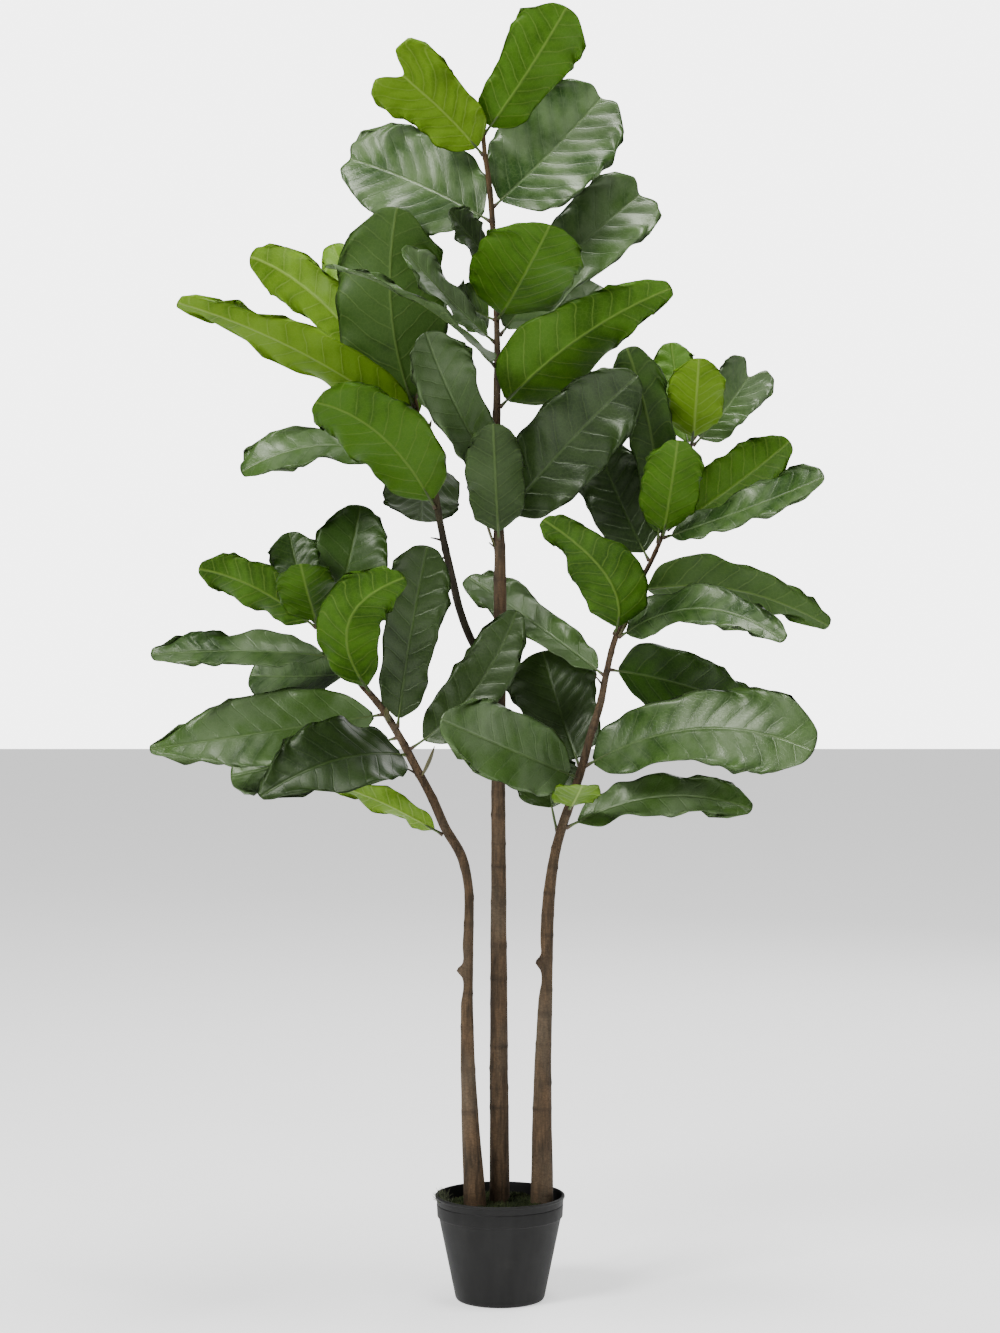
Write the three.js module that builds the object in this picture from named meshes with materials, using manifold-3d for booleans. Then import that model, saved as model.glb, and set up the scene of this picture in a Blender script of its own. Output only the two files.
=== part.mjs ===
// Potted fiddle leaf fig: three rooted trunks with one side branch, broad
// waisted leaves, a moss mat over soil and a tapered nursery pot.
// Millimetres, +Z up, the front of the plant faces -Y, the origin is the
// centre of the pot's underside.
import * as THREE from "three";
import Module from "manifold-3d";

// ---- fits ----
const FIT_GAP = 0.3;

// Corners sit on a grid this many steps to the millimetre, so that faces that
// share a corner hold exactly the same numbers in any unit.
const GRID_STEPS = 256;

// ---- pot ----
const POT_HEIGHT = 147;
const POT_RIM_RADIUS = 91;
const POT_BASE_RADIUS = 62;
const POT_WALL = 2.4;
const POT_FLOOR = 3.5;
const POT_FOOT_ROUND = 4;
const COLLAR_HEIGHT = 31;
const COLLAR_STEP = 2.2;
const COLLAR_FLARE = 1.4;
const COLLAR_GROOVE_DROP = 12;
const COLLAR_GROOVE_DEPTH = 0.8;
const COLLAR_GROOVE_HALF = 1.2;
const LIP_HEIGHT = 4;
const LIP_OVERHANG = 1.6;
const POT_SIDES = 48;

// ---- soil and moss ----
const SOIL_DROP = 25;
const SOIL_TOP = POT_HEIGHT - SOIL_DROP;
const MOSS_THICKNESS = 9;
const MOSS_SWELL = 5;
const MOSS_RING_FRACTIONS = [0.96, 0.66, 0.34];
const MOSS_SIDES = 32;
const SOCKET_DEPTH = 34;
const CUTTER_REACH = 20;

// ---- stems ----
const STEM_SIDES = 10;
const STEM_RING_STEP = 42;
const KNOT_REACH = 9;

// ---- leaves ----
const BLADE_HALF_THICKNESS = 0.5;
const RIB_DEPTH = 1.5;
const PETIOLE_RADIUS = 2.1;
const PETIOLE_GROOVE = 0.45;
const PETIOLE_LENGTH = 11;
const PETIOLE_SPRING = 12;
const SEATING_PASSES = 4;

// How far the straight flats of the bark can stand proud of its smooth bends.
const BEND_BULGE = 0.3;
const ARCH_POSITION = 0.46;
const MID_LATERAL = 0.52;
const CUP = 0.18;
const CUP_POWER = 1.6;
const TIP_STARTS = 0.55;
const TIP_ROUNDING = 0.35;
const RUFFLE = 5;
const RUFFLE_WAVES = 2.5;

// Stretches the leaf offsets front to back, which rounds the crown.
const CROWN_DEPTH = 1.7;

// Distance along the blade and half width there, both as fractions.
const FIDDLE = [
  [0.0, 0.1],
  [0.06, 0.5],
  [0.17, 0.72],
  [0.33, 0.76],
  [0.5, 0.86],
  [0.66, 0.98],
  [0.8, 1.0],
  [0.92, 0.88],
  [1.0, 0.58],
];
const OVAL = [
  [0.0, 0.09],
  [0.07, 0.56],
  [0.18, 0.84],
  [0.33, 0.97],
  [0.5, 1.0],
  [0.65, 0.98],
  [0.79, 0.89],
  [0.91, 0.7],
  [1.0, 0.42],
];
const STRAP = [
  [0.0, 0.1],
  [0.07, 0.6],
  [0.2, 0.92],
  [0.38, 1.0],
  [0.54, 0.92],
  [0.68, 0.68],
  [0.8, 0.54],
  [0.92, 0.48],
  [1.0, 0.32],
];
const POINTED = [
  [0.0, 0.09],
  [0.07, 0.54],
  [0.18, 0.83],
  [0.33, 0.98],
  [0.48, 1.0],
  [0.62, 0.92],
  [0.76, 0.7],
  [0.89, 0.42],
  [1.0, 0.12],
];
const TAPERED = [
  [0.0, 0.1],
  [0.06, 0.62],
  [0.15, 0.9],
  [0.3, 1.0],
  [0.48, 0.88],
  [0.65, 0.7],
  [0.79, 0.56],
  [0.91, 0.46],
  [1.0, 0.28],
];

// ---- paths: [x, y, z, radius] from the socket upwards ----
const TRUNK_CENTRE = [
  [0, 14, SOIL_TOP - SOCKET_DEPTH, 15],
  [-1, 13, 150, 14.2],
  [-1, 12, 290, 12.8],
  [-2, 12, 480, 11.6],
  [-2, 12, 720, 10],
  [-1, 12, 860, 9],
  [0, 12, 1030, 8.2],
  [-2, 12, 1090, 7],
  [-5, 10, 1220, 5.8],
  [-4, 8, 1340, 4.6],
  [-12, 6, 1530, 3.8],
  [-22, 4, 1606, 3.1],
  [-25, 4, 1645, 2.4],
];
const TRUNK_LEFT = [
  [-33, -24, SOIL_TOP - SOCKET_DEPTH, 16],
  [-35, -24, 150, 15],
  [-43, -24, 280, 11.2],
  [-46, -24, 400, 9],
  [-45, -24, 480, 8],
  [-43, -24, 570, 6.6],
  [-52, -24, 620, 6.8],
  [-75, -25, 661, 6.4],
  [-93, -26, 703, 6],
  [-115, -28, 745, 5.6],
  [-137, -28, 787, 5.2],
  [-158, -26, 822, 4.8],
  [-185, -22, 856, 4.4],
  [-215, -18, 888, 4],
  [-240, -14, 920, 3.5],
  [-256, -12, 952, 2.8],
];
const TRUNK_RIGHT = [
  [59, -4, SOIL_TOP - SOCKET_DEPTH, 16.5],
  [59, -4, 170, 15.6],
  [60, -3, 342, 12],
  [64, -2, 430, 9.6],
  [68, -1, 560, 8.4],
  [76, 0, 620, 6.6],
  [86, 0, 661, 6.4],
  [96, 1, 690, 6],
  [114, 2, 745, 5.6],
  [126, 3, 790, 5.3],
  [139, 4, 830, 5],
  [155, 6, 905, 4.6],
  [168, 8, 945, 4.2],
  [197, 10, 1008, 3.8],
  [222, 12, 1057, 3.4],
  [234, 12, 1090, 3.1],
  [254, 12, 1150, 2.7],
  [270, 12, 1206, 2.2],
];
const SIDE_BRANCH_GROWS_AT = 884;
const SIDE_BRANCH_RISE = [
  [-46, 8, 936, 5.4],
  [-57, 6, 970, 5.2],
  [-71, 4, 1029, 4.9],
  [-82, 2, 1078, 4.6],
  [-91, 0, 1133, 4.2],
  [-106, 0, 1190, 3.6],
  [-118, 2, 1262, 2.8],
];

// ---- stumps of old side shoots: height, compass angle, bulge ----
const KNOTS = {
  left: [[465, 180, 0.95]],
  right: [[473, 180, 0.7]],
  centre: [[1062, 150, 0.4]],
  branch: [],
};

// ---- small vector helpers ----
const UP = new THREE.Vector3(0, 0, 1);
const FRONT = new THREE.Vector3(0, -1, 0);

function radians(degrees) {
  return (degrees * Math.PI) / 180;
}

function across(vector, axis) {
  return vector.clone().addScaledVector(axis, -vector.dot(axis)).normalize();
}

// ---- solids ----
function onGrid(value) {
  return Math.round(value * GRID_STEPS) / GRID_STEPS;
}

function solidFrom(points, triangles) {
  const geometry = new THREE.BufferGeometry();
  const flat = points.flatMap((point) => point.toArray().map(onGrid));
  geometry.setAttribute("position", new THREE.Float32BufferAttribute(flat, 3));
  const outward = signedVolume(points, triangles) > 0;
  const faces = outward ? triangles : triangles.map(([a, b, c]) => [a, c, b]);
  geometry.setIndex(faces.flat());
  geometry.computeVertexNormals();
  return geometry;
}

function signedVolume(points, triangles) {
  let total = 0;
  for (const [a, b, c] of triangles) {
    total += points[a].dot(points[b].clone().cross(points[c]));
  }
  return total / 6;
}

// Skins a row of rings that all hold the same number of points.
function skinTriangles(ringCount, sides) {
  const triangles = [];
  for (let ring = 0; ring + 1 < ringCount; ring += 1) {
    for (let side = 0; side < sides; side += 1) {
      const next = (side + 1) % sides;
      const low = ring * sides;
      const high = low + sides;
      triangles.push([low + side, low + next, high + next]);
      triangles.push([low + side, high + next, high + side]);
    }
  }
  return triangles;
}

// Skins leaf rings so that the underside's diagonals lie under the upper ones.
function leafSkin(ringCount, sides) {
  const triangles = [];
  for (let ring = 0; ring + 1 < ringCount; ring += 1) {
    for (let side = 0; side < sides; side += 1) {
      const next = (side + 1) % sides;
      const low = ring * sides;
      const high = low + sides;
      const [from, to] = side < sides / 2 ? [side, next] : [next, side];
      const pair = [
        [low + from, low + to, high + to],
        [low + from, high + to, high + from],
      ];
      triangles.push(...(side < sides / 2 ? pair : pair.map((face) => face.reverse())));
    }
  }
  return triangles;
}

// Closes a ring with triangles fanned from its first point.
function fanCap(start, sides, reversed) {
  const triangles = [];
  for (let side = 1; side + 1 < sides; side += 1) {
    const face = [start, start + side, start + side + 1];
    triangles.push(reversed ? face.reverse() : face);
  }
  return triangles;
}

// Closes a flat eight-point leaf ring by stitching its upper to its lower side.
function leafCap(start, reversed) {
  const faces = [
    [0, 1, 7],
    [1, 2, 6],
    [1, 6, 7],
    [2, 3, 5],
    [2, 5, 6],
    [3, 4, 5],
  ];
  return faces.map((face) => {
    const shifted = face.map((index) => start + index);
    return reversed ? shifted.reverse() : shifted;
  });
}

// ---- stems ----
// Smooth value of a path at a height, from the slopes of its neighbours.
function pathAt(path, height) {
  let index = 0;
  while (index < path.length - 2 && path[index + 1][2] < height) index += 1;
  const before = path[Math.max(index - 1, 0)];
  const from = path[index];
  const to = path[index + 1];
  const after = path[Math.min(index + 2, path.length - 1)];
  const span = to[2] - from[2];
  const t = THREE.MathUtils.clamp((height - from[2]) / span, 0, 1);
  const value = (axis) => {
    const slopeFrom = ((to[axis] - before[axis]) / (to[2] - before[2])) * span;
    const slopeTo = ((after[axis] - from[axis]) / (after[2] - from[2])) * span;
    const squared = t * t;
    const cubed = squared * t;
    return (
      (2 * cubed - 3 * squared + 1) * from[axis] +
      (cubed - 2 * squared + t) * slopeFrom +
      (3 * squared - 2 * cubed) * to[axis] +
      (cubed - squared) * slopeTo
    );
  };
  return {
    centre: new THREE.Vector3(value(0), value(1), from[2] + span * t),
    radius: value(3),
  };
}

function pathTangent(path, height) {
  const reach = 4;
  const low = pathAt(path, Math.max(height - reach, path[0][2])).centre;
  const high = pathAt(path, Math.min(height + reach, path.at(-1)[2])).centre;
  return high.sub(low).normalize();
}

function ringHeights(path, knots) {
  const bottom = path[0][2];
  const top = path.at(-1)[2];
  const count = Math.round((top - bottom) / STEM_RING_STEP);
  const heights = [];
  for (let step = 0; step <= count; step += 1) {
    heights.push(bottom + ((top - bottom) * step) / count);
  }
  const clear = heights.filter((height) => {
    return knots.every((knot) => Math.abs(height - knot[0]) > 2 * KNOT_REACH);
  });
  for (const [height] of knots) {
    clear.push(height - KNOT_REACH, height, height + KNOT_REACH);
  }
  return clear.sort((a, b) => a - b);
}

function stemRing(path, height, knots, grow, level) {
  const { centre, radius } = pathAt(path, height);
  const tangent = level ? UP.clone() : pathTangent(path, height);
  const east = across(new THREE.Vector3(1, 0, 0), tangent);
  const north = tangent.clone().cross(east);
  const points = [];
  for (let side = 0; side < STEM_SIDES; side += 1) {
    const angle = (2 * Math.PI * side) / STEM_SIDES;
    let reach = radius + grow;
    for (const [knotHeight, compass, bulge] of knots) {
      if (Math.abs(height - knotHeight) > 1) continue;
      const facing = Math.max(0, Math.cos(angle - radians(compass)));
      reach += bulge * radius * facing ** 4;
    }
    const point = centre.clone();
    point.addScaledVector(east, reach * Math.cos(angle));
    point.addScaledVector(north, reach * Math.sin(angle));
    points.push(point);
  }
  return points;
}

function stemGeometry(path, knots) {
  const heights = ringHeights(path, knots);
  const points = heights.flatMap((height, index) => {
    return stemRing(path, height, knots, 0, index === 0);
  });
  const top = (heights.length - 1) * STEM_SIDES;
  const triangles = skinTriangles(heights.length, STEM_SIDES);
  triangles.push(...fanCap(0, STEM_SIDES, true));
  triangles.push(...fanCap(top, STEM_SIDES, false));
  return solidFrom(points, triangles);
}

// The side branch leaves the centre trunk at its surface.
function sideBranchPath() {
  const trunk = pathAt(TRUNK_CENTRE, SIDE_BRANCH_GROWS_AT);
  const first = SIDE_BRANCH_RISE[0];
  const outward = new THREE.Vector3(first[0], first[1], 0);
  outward.sub(new THREE.Vector3(trunk.centre.x, trunk.centre.y, 0)).normalize();
  const radius = first[3];
  const reach = trunk.radius + radius + 2 * FIT_GAP;
  const root = trunk.centre.clone().addScaledVector(outward, reach);
  return [[root.x, root.y, root.z, radius], ...SIDE_BRANCH_RISE];
}

const STEMS = {
  centre: TRUNK_CENTRE,
  left: TRUNK_LEFT,
  right: TRUNK_RIGHT,
  branch: sideBranchPath(),
};

// ---- leaves ----
// One leaf: height on its stem, tip offset from the stem, full width, and how
// its upper side is turned. face 0 looks up, 90 looks to the front and -90
// shows the underside to the front. arch moves the middle of the midrib off
// the straight line to the tip. proud stands the root further off a sharp bend.
function leafSpine(path, leaf) {
  const { centre, radius } = pathAt(path, leaf.at);
  const [tipX, tipY, tipZ] = leaf.tip;
  const tip = new THREE.Vector3(tipX, tipY * CROWN_DEPTH, tipZ);
  const heading = new THREE.Vector3(tip.x, tip.y, 0).normalize();
  const outward = across(heading, pathTangent(path, leaf.at));
  const end = centre.clone().add(tip);
  const bark = centre.clone().addScaledVector(outward, radius);
  const chord = end.clone().sub(bark);
  const control = bark.clone().addScaledVector(chord, ARCH_POSITION);
  control.addScaledVector(new THREE.Vector3(...(leaf.arch ?? [0, 0, 0])), 2);
  control.addScaledVector(outward, PETIOLE_SPRING);
  const root = seatedRoot(bark, outward, control, BEND_BULGE + (leaf.proud ?? 0));
  return { curve: new THREE.QuadraticBezierCurve3(root, control, end), chord };
}

// A stalk's flat root leans with the stalk, so one edge comes nearest the bark.
// The root stands off by that lean, which leaves the fit under the near edge.
function seatedRoot(bark, outward, control, allowance) {
  let root = bark.clone();
  for (let pass = 0; pass < SEATING_PASSES; pass += 1) {
    const heading = control.clone().sub(root).normalize();
    const lean = Math.sin(heading.angleTo(outward));
    root = bark.clone().addScaledVector(outward, FIT_GAP + allowance + PETIOLE_RADIUS * lean);
  }
  return root;
}

function leafFacing(chord, turn) {
  const along = chord.clone().normalize();
  const facing = UP.clone().multiplyScalar(Math.cos(radians(turn)));
  facing.addScaledVector(FRONT, Math.sin(radians(turn)));
  return across(facing, along);
}

function petioleRing(centre, lateral, normal) {
  const angles = [180, 135, 90, 45, 0, -45, -90, -135];
  return angles.map((degrees) => {
    const reach = degrees === 90 ? PETIOLE_RADIUS * PETIOLE_GROOVE : PETIOLE_RADIUS;
    const point = centre.clone();
    point.addScaledVector(lateral, reach * Math.cos(radians(degrees)));
    point.addScaledVector(normal, reach * Math.sin(radians(degrees)));
    return point;
  });
}

function bladeRing(leaf, station, half, centre, tangent, lateral, normal) {
  const width = half * (leaf.width / 2);
  const late = Math.max(0, (station - TIP_STARTS) / (1 - TIP_STARTS));
  const ruffle = leaf.ruffle ?? RUFFLE;
  const surface = (u) => {
    const wave = Math.sin(2 * Math.PI * RUFFLE_WAVES * station + (u > 0 ? 0.6 : 2.4));
    const bend = CUP * Math.abs(u) ** CUP_POWER * width;
    const ripple = ruffle * wave * u * u * half;
    const lag = TIP_ROUNDING * u * u * late * late * width;
    const cleft = (leaf.notch ?? 0) * (1 - Math.abs(u)) * late;
    const point = centre.clone();
    point.addScaledVector(lateral, u * width);
    point.addScaledVector(normal, bend + ripple);
    point.addScaledVector(tangent, -lag - cleft);
    return point;
  };
  const rib = BLADE_HALF_THICKNESS + RIB_DEPTH * (1 - station);
  const lift = (u, amount) => surface(u).addScaledVector(normal, amount);
  return [
    surface(-1),
    lift(-MID_LATERAL, BLADE_HALF_THICKNESS),
    lift(0, BLADE_HALF_THICKNESS),
    lift(MID_LATERAL, BLADE_HALF_THICKNESS),
    surface(1),
    lift(MID_LATERAL, -BLADE_HALF_THICKNESS),
    lift(0, -rib),
    lift(-MID_LATERAL, -BLADE_HALF_THICKNESS),
  ];
}

function leafGeometry(path, leaf) {
  const { curve, chord } = leafSpine(path, leaf);
  const length = curve.getLength();
  const stalk = (leaf.petiole ?? PETIOLE_LENGTH) / length;
  const facing = leafFacing(chord, leaf.face ?? 0);
  const frameAt = (fraction, station) => {
    const tangent = curve.getTangentAt(fraction);
    const normal = across(facing, tangent);
    normal.applyAxisAngle(tangent, radians(leaf.twist ?? 0) * (station - 0.4));
    const lateral = normal.clone().cross(tangent);
    return { centre: curve.getPointAt(fraction), tangent, lateral, normal };
  };
  const rings = [];
  const bladeStart = frameAt(stalk, 0).normal;
  for (const fraction of [0, 0.55 * stalk]) {
    const tangent = curve.getTangentAt(fraction);
    const normal = across(bladeStart, tangent);
    rings.push(petioleRing(curve.getPointAt(fraction), normal.clone().cross(tangent), normal));
  }
  for (const [station, half] of leaf.outline ?? FIDDLE) {
    const fraction = stalk + (1 - stalk) * station;
    const { centre, tangent, lateral, normal } = frameAt(fraction, station);
    rings.push(bladeRing(leaf, station, half, centre, tangent, lateral, normal));
  }
  const sides = rings[0].length;
  const triangles = leafSkin(rings.length, sides);
  triangles.push(...leafCap(0, true));
  triangles.push(...leafCap((rings.length - 1) * sides, false));
  return solidFrom(rings.flat(), triangles);
}

// The order within a stem only sets the numbers in the names.
const CENTRE_LEAVES = [
  { at: 1630, tip: [115, -50, 158], width: 106, face: -65 },
  { at: 1602, tip: [-148, -62, 112], width: 114, face: -62, notch: 48, arch: [2, 0, 14] },
  { at: 1530, tip: [166, 42, 174], width: 156, face: 75, notch: 18, outline: OVAL },
  { at: 1510, tip: [-216, 30, 96], width: 148, face: 72, notch: 16, arch: [0, 0, 12], outline: OVAL },
  { at: 1456, tip: [-62, -32, 62], width: 64, face: 50, outline: OVAL },
  { at: 1372, tip: [72, -95, 112], width: 148, face: -50, ruffle: 3, outline: OVAL },
  { at: 1352, tip: [222, 60, 220], width: 118, face: 70, notch: 24, arch: [-10, 0, 10] },
  { at: 1252, tip: [240, -46, 156], width: 122, face: -60, arch: [-8, 0, 18], outline: TAPERED },
  { at: 1292, tip: [148, 74, 140], width: 90, face: 60 },
  { at: 1342, tip: [-130, -38, 122], width: 66, face: 40 },
  { at: 1308, tip: [-228, -130, 114], width: 74, face: 28, arch: [8, -42, 20], outline: STRAP },
  { at: 1372, tip: [-62, 40, 42], width: 68, face: -55, outline: OVAL },
  { at: 1162, tip: [-98, -56, 184], width: 100, face: 56, arch: [-4, -8, 0] },
  { at: 1068, tip: [-8, -72, 152], width: 84, face: -80, outline: OVAL },
  { at: 1094, tip: [190, -52, 194], width: 122, face: 80, arch: [-6, 0, 8], outline: OVAL },
];
const BRANCH_LEAVES = [
  { at: 1252, tip: [-26, -14, 272], width: 156, face: -88, arch: [-16, 0, 0], outline: OVAL },
  { at: 1228, tip: [-244, 60, 242], width: 76, face: -70, arch: [0, 0, 44] },
  { at: 1214, tip: [-138, 154, 292], width: 74, face: 60, arch: [0, 30, 0], petiole: 30 },
  { at: 1226, tip: [-324, -70, 158], width: 92, face: -40, arch: [0, 0, 22], outline: STRAP },
  { at: 1112, tip: [-160, -98, 134], width: 116, face: -55, arch: [8, -6, 30], outline: OVAL },
  { at: 1156, tip: [-268, 26, 4], width: 72, face: 55, arch: [0, 4, 42] },
  { at: 1186, tip: [-8, 60, -94], width: 112, face: 70, outline: OVAL },
];
const RIGHT_LEAVES = [
  { at: 1200, tip: [4, -50, 112], width: 80, face: -85, outline: OVAL },
  { at: 1192, tip: [-22, 56, 156], width: 60, face: 70 },
  { at: 1200, tip: [98, 16, 124], width: 82, face: 80, notch: 34 },
  { at: 1062, proud: 0.6, tip: [-50, -40, 266], width: 70, face: -80, arch: [16, -8, 0] },
  { at: 1036, tip: [-78, 8, 172], width: 96, face: 80, outline: OVAL },
  { at: 1070, tip: [14, -74, 128], width: 84, face: -60, outline: OVAL },
  { at: 1082, proud: 0.4, tip: [176, 14, 122], width: 92, face: -60, arch: [0, 8, 0], outline: OVAL },
  { at: 1070, tip: [214, -68, 78], width: 74, face: 48, arch: [0, -4, 0] },
  { at: 934, tip: [-106, -88, 156], width: 96, face: -60, arch: [40, 0, 0], outline: STRAP },
  { at: 996, tip: [268, -8, -52], width: 104, face: -45, arch: [0, 0, 28], outline: TAPERED },
  { at: 932, proud: 0.6, tip: [222, -80, -6], width: 88, face: 48, arch: [0, 0, 42], outline: TAPERED },
  { at: 884, tip: [252, 50, -80], width: 108, face: 58, arch: [0, 0, 10], outline: TAPERED },
  { at: 752, tip: [308, -84, 26], width: 124, face: 65, arch: [0, -8, 42] },
  { at: 876, tip: [-196, 64, 137], width: 76, face: 42, arch: [0, 0, 6] },
  { at: 748, tip: [-54, 46, 160], width: 132, face: 70 },
  { at: 732, tip: [-190, -86, 88], width: 106, face: 75, outline: OVAL },
  { at: 654, tip: [-22, 26, 114], width: 92, face: 88, ruffle: 3, petiole: 38, outline: OVAL },
  { at: 666, tip: [260, -34, 26], width: 70, face: 50, arch: [0, 0, 32], petiole: 16, outline: OVAL },
  { at: 690, tip: [16, -68, 40], width: 66, face: -30, outline: OVAL },
];
const LEFT_LEAVES = [
  { at: 946, tip: [-164, -14, 78], width: 72, face: -60, arch: [0, 0, 18], outline: OVAL },
  { at: 946, tip: [-44, 30, 130], width: 72, face: 80 },
  { at: 946, tip: [-16, -74, 84], width: 84, face: -80, outline: OVAL },
  { at: 922, tip: [42, 70, 194], width: 114, face: 75, arch: [0, 12, 0], outline: OVAL },
  { at: 852, tip: [54, -82, 160], width: 88, face: -75, arch: [-52, -10, 18], outline: OVAL },
  { at: 804, tip: [46, -18, 252], width: 90, face: 75, arch: [-6, 0, 0] },
  { at: 905, tip: [-252, -24, 0], width: 72, face: 40, arch: [0, 0, 10], outline: OVAL },
  { at: 880, tip: [-152, 78, -8], width: 96, face: 60, arch: [0, 18, 0] },
  { at: 825, tip: [-320, -34, -48], width: 120, face: 55, arch: [0, -4, 2], outline: POINTED },
  { at: 768, tip: [-190, -120, -46], width: 124, face: 60, arch: [0, -14, 22], outline: POINTED },
  { at: 660, tip: [-168, 12, 66], width: 52, face: -45, arch: [0, 0, 12], outline: OVAL },
  { at: 772, tip: [152, -8, 194], width: 78, face: 70, arch: [12, 0, -14], petiole: 22, outline: OVAL },
  { at: 792, tip: [-240, 36, -60], width: 90, face: 60 },
];
const FOLIAGE = [
  { stem: "centre", letter: "c", leaves: CENTRE_LEAVES },
  { stem: "branch", letter: "b", leaves: BRANCH_LEAVES },
  { stem: "right", letter: "r", leaves: RIGHT_LEAVES },
  { stem: "left", letter: "l", leaves: LEFT_LEAVES },
];

// ---- pot ----
function potWallRadius(height) {
  const shoulder = POT_HEIGHT - COLLAR_HEIGHT;
  const top = POT_RIM_RADIUS - LIP_OVERHANG - COLLAR_FLARE - COLLAR_STEP;
  return THREE.MathUtils.lerp(POT_BASE_RADIUS, top, height / shoulder);
}

function potGeometry() {
  const shoulder = POT_HEIGHT - COLLAR_HEIGHT;
  const collarLow = potWallRadius(shoulder) + COLLAR_STEP;
  const collarHigh = collarLow + COLLAR_FLARE;
  const groove = POT_HEIGHT - COLLAR_GROOVE_DROP;
  const grooveRadius = THREE.MathUtils.lerp(collarLow, collarHigh, (groove - shoulder) / COLLAR_HEIGHT);
  const lipLow = POT_HEIGHT - LIP_HEIGHT;
  const profile = [
    [0, 0],
    [POT_BASE_RADIUS - POT_FOOT_ROUND, 0],
    [POT_BASE_RADIUS - POT_FOOT_ROUND / 4, POT_FOOT_ROUND / 4],
    [potWallRadius(POT_FOOT_ROUND), POT_FOOT_ROUND],
    [potWallRadius(shoulder), shoulder],
    [collarLow, shoulder + COLLAR_STEP / 2],
    [grooveRadius, groove - COLLAR_GROOVE_HALF],
    [grooveRadius - COLLAR_GROOVE_DEPTH, groove],
    [grooveRadius, groove + COLLAR_GROOVE_HALF],
    [collarHigh, lipLow],
    [POT_RIM_RADIUS, lipLow + LIP_OVERHANG / 2],
    [POT_RIM_RADIUS, POT_HEIGHT - LIP_OVERHANG / 2],
    [POT_RIM_RADIUS - LIP_OVERHANG / 2, POT_HEIGHT],
    [collarHigh - POT_WALL, POT_HEIGHT],
    [collarLow - POT_WALL, shoulder],
    [potWallRadius(POT_FLOOR) - POT_WALL, POT_FLOOR],
    [0, POT_FLOOR],
  ];
  return latheSolid(profile, POT_SIDES);
}

// Turns a profile that starts and ends on the axis into a closed solid.
function latheSolid(profile, sides) {
  const inner = profile.slice(1, -1);
  const points = inner.flatMap(([radius, height]) => {
    return Array.from({ length: sides }, (_, side) => {
      const angle = (2 * Math.PI * side) / sides;
      return new THREE.Vector3(radius * Math.cos(angle), radius * Math.sin(angle), height);
    });
  });
  const triangles = skinTriangles(inner.length, sides);
  const first = points.push(new THREE.Vector3(0, 0, profile[0][1])) - 1;
  const last = points.push(new THREE.Vector3(0, 0, profile.at(-1)[1])) - 1;
  const top = (inner.length - 1) * sides;
  for (let side = 0; side < sides; side += 1) {
    const next = (side + 1) % sides;
    triangles.push([first, next, side]);
    triangles.push([last, top + side, top + next]);
  }
  return solidFrom(points, triangles);
}

// ---- soil with its moss cover ----
function insideRadius(height) {
  const shoulder = POT_HEIGHT - COLLAR_HEIGHT;
  if (height <= shoulder) return potWallRadius(height) - POT_WALL;
  return potWallRadius(shoulder) + COLLAR_STEP - POT_WALL;
}

function mossSwell(fraction, angle) {
  const broad = Math.sin(3 * angle + 0.8);
  const fine = Math.cos(5 * angle + 4 * fraction);
  return 0.5 + 0.3 * broad + 0.2 * fine;
}

function soilBlank() {
  const shoulder = POT_HEIGHT - COLLAR_HEIGHT;
  const bottom = POT_FLOOR + FIT_GAP;
  const gap = 2 * FIT_GAP;
  const outer = insideRadius(shoulder - COLLAR_STEP) - gap;
  const rings = [
    [insideRadius(bottom) - gap, () => bottom],
    [outer, () => shoulder - COLLAR_STEP],
    [outer, () => SOIL_TOP],
  ];
  for (const fraction of MOSS_RING_FRACTIONS) {
    rings.push([outer * fraction, (angle) => {
      const crown = MOSS_THICKNESS + MOSS_SWELL * mossSwell(fraction, angle);
      return SOIL_TOP + crown;
    }]);
  }
  const points = rings.flatMap(([radius, heightAt]) => {
    return Array.from({ length: MOSS_SIDES }, (_, side) => {
      const angle = (2 * Math.PI * side) / MOSS_SIDES;
      return new THREE.Vector3(radius * Math.cos(angle), radius * Math.sin(angle), heightAt(angle));
    });
  });
  const triangles = skinTriangles(rings.length, MOSS_SIDES);
  const low = points.push(new THREE.Vector3(0, 0, bottom)) - 1;
  const high = points.push(new THREE.Vector3(0, 0, SOIL_TOP + MOSS_THICKNESS + MOSS_SWELL / 2)) - 1;
  const top = (rings.length - 1) * MOSS_SIDES;
  for (let side = 0; side < MOSS_SIDES; side += 1) {
    const next = (side + 1) % MOSS_SIDES;
    triangles.push([low, next, side]);
    triangles.push([high, top + side, top + next]);
  }
  return solidFrom(points, triangles);
}

// A trunk's foot, swollen by the fit, to cut its socket.
function socketCutter(path) {
  const heights = [
    path[0][2] - FIT_GAP,
    path[0][2] + CUTTER_REACH,
    SOIL_TOP,
    POT_HEIGHT,
    POT_HEIGHT + CUTTER_REACH,
  ];
  const points = heights.flatMap((height, index) => {
    const ring = stemRing(path, height, [], 2 * FIT_GAP, index === 0);
    if (index === 0) ring.forEach((point) => { point.z = height; });
    return ring;
  });
  const top = (heights.length - 1) * STEM_SIDES;
  const triangles = skinTriangles(heights.length, STEM_SIDES);
  triangles.push(...fanCap(0, STEM_SIDES, true));
  triangles.push(...fanCap(top, STEM_SIDES, false));
  return solidFrom(points, triangles);
}

// ---- booleans ----
const wasm = await Module();
wasm.setup();

function toManifold(geometry) {
  return new wasm.Manifold(new wasm.Mesh({
    numProp: 3,
    vertProperties: new Float32Array(geometry.getAttribute("position").array),
    triVerts: new Uint32Array(geometry.getIndex().array),
  }));
}

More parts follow.
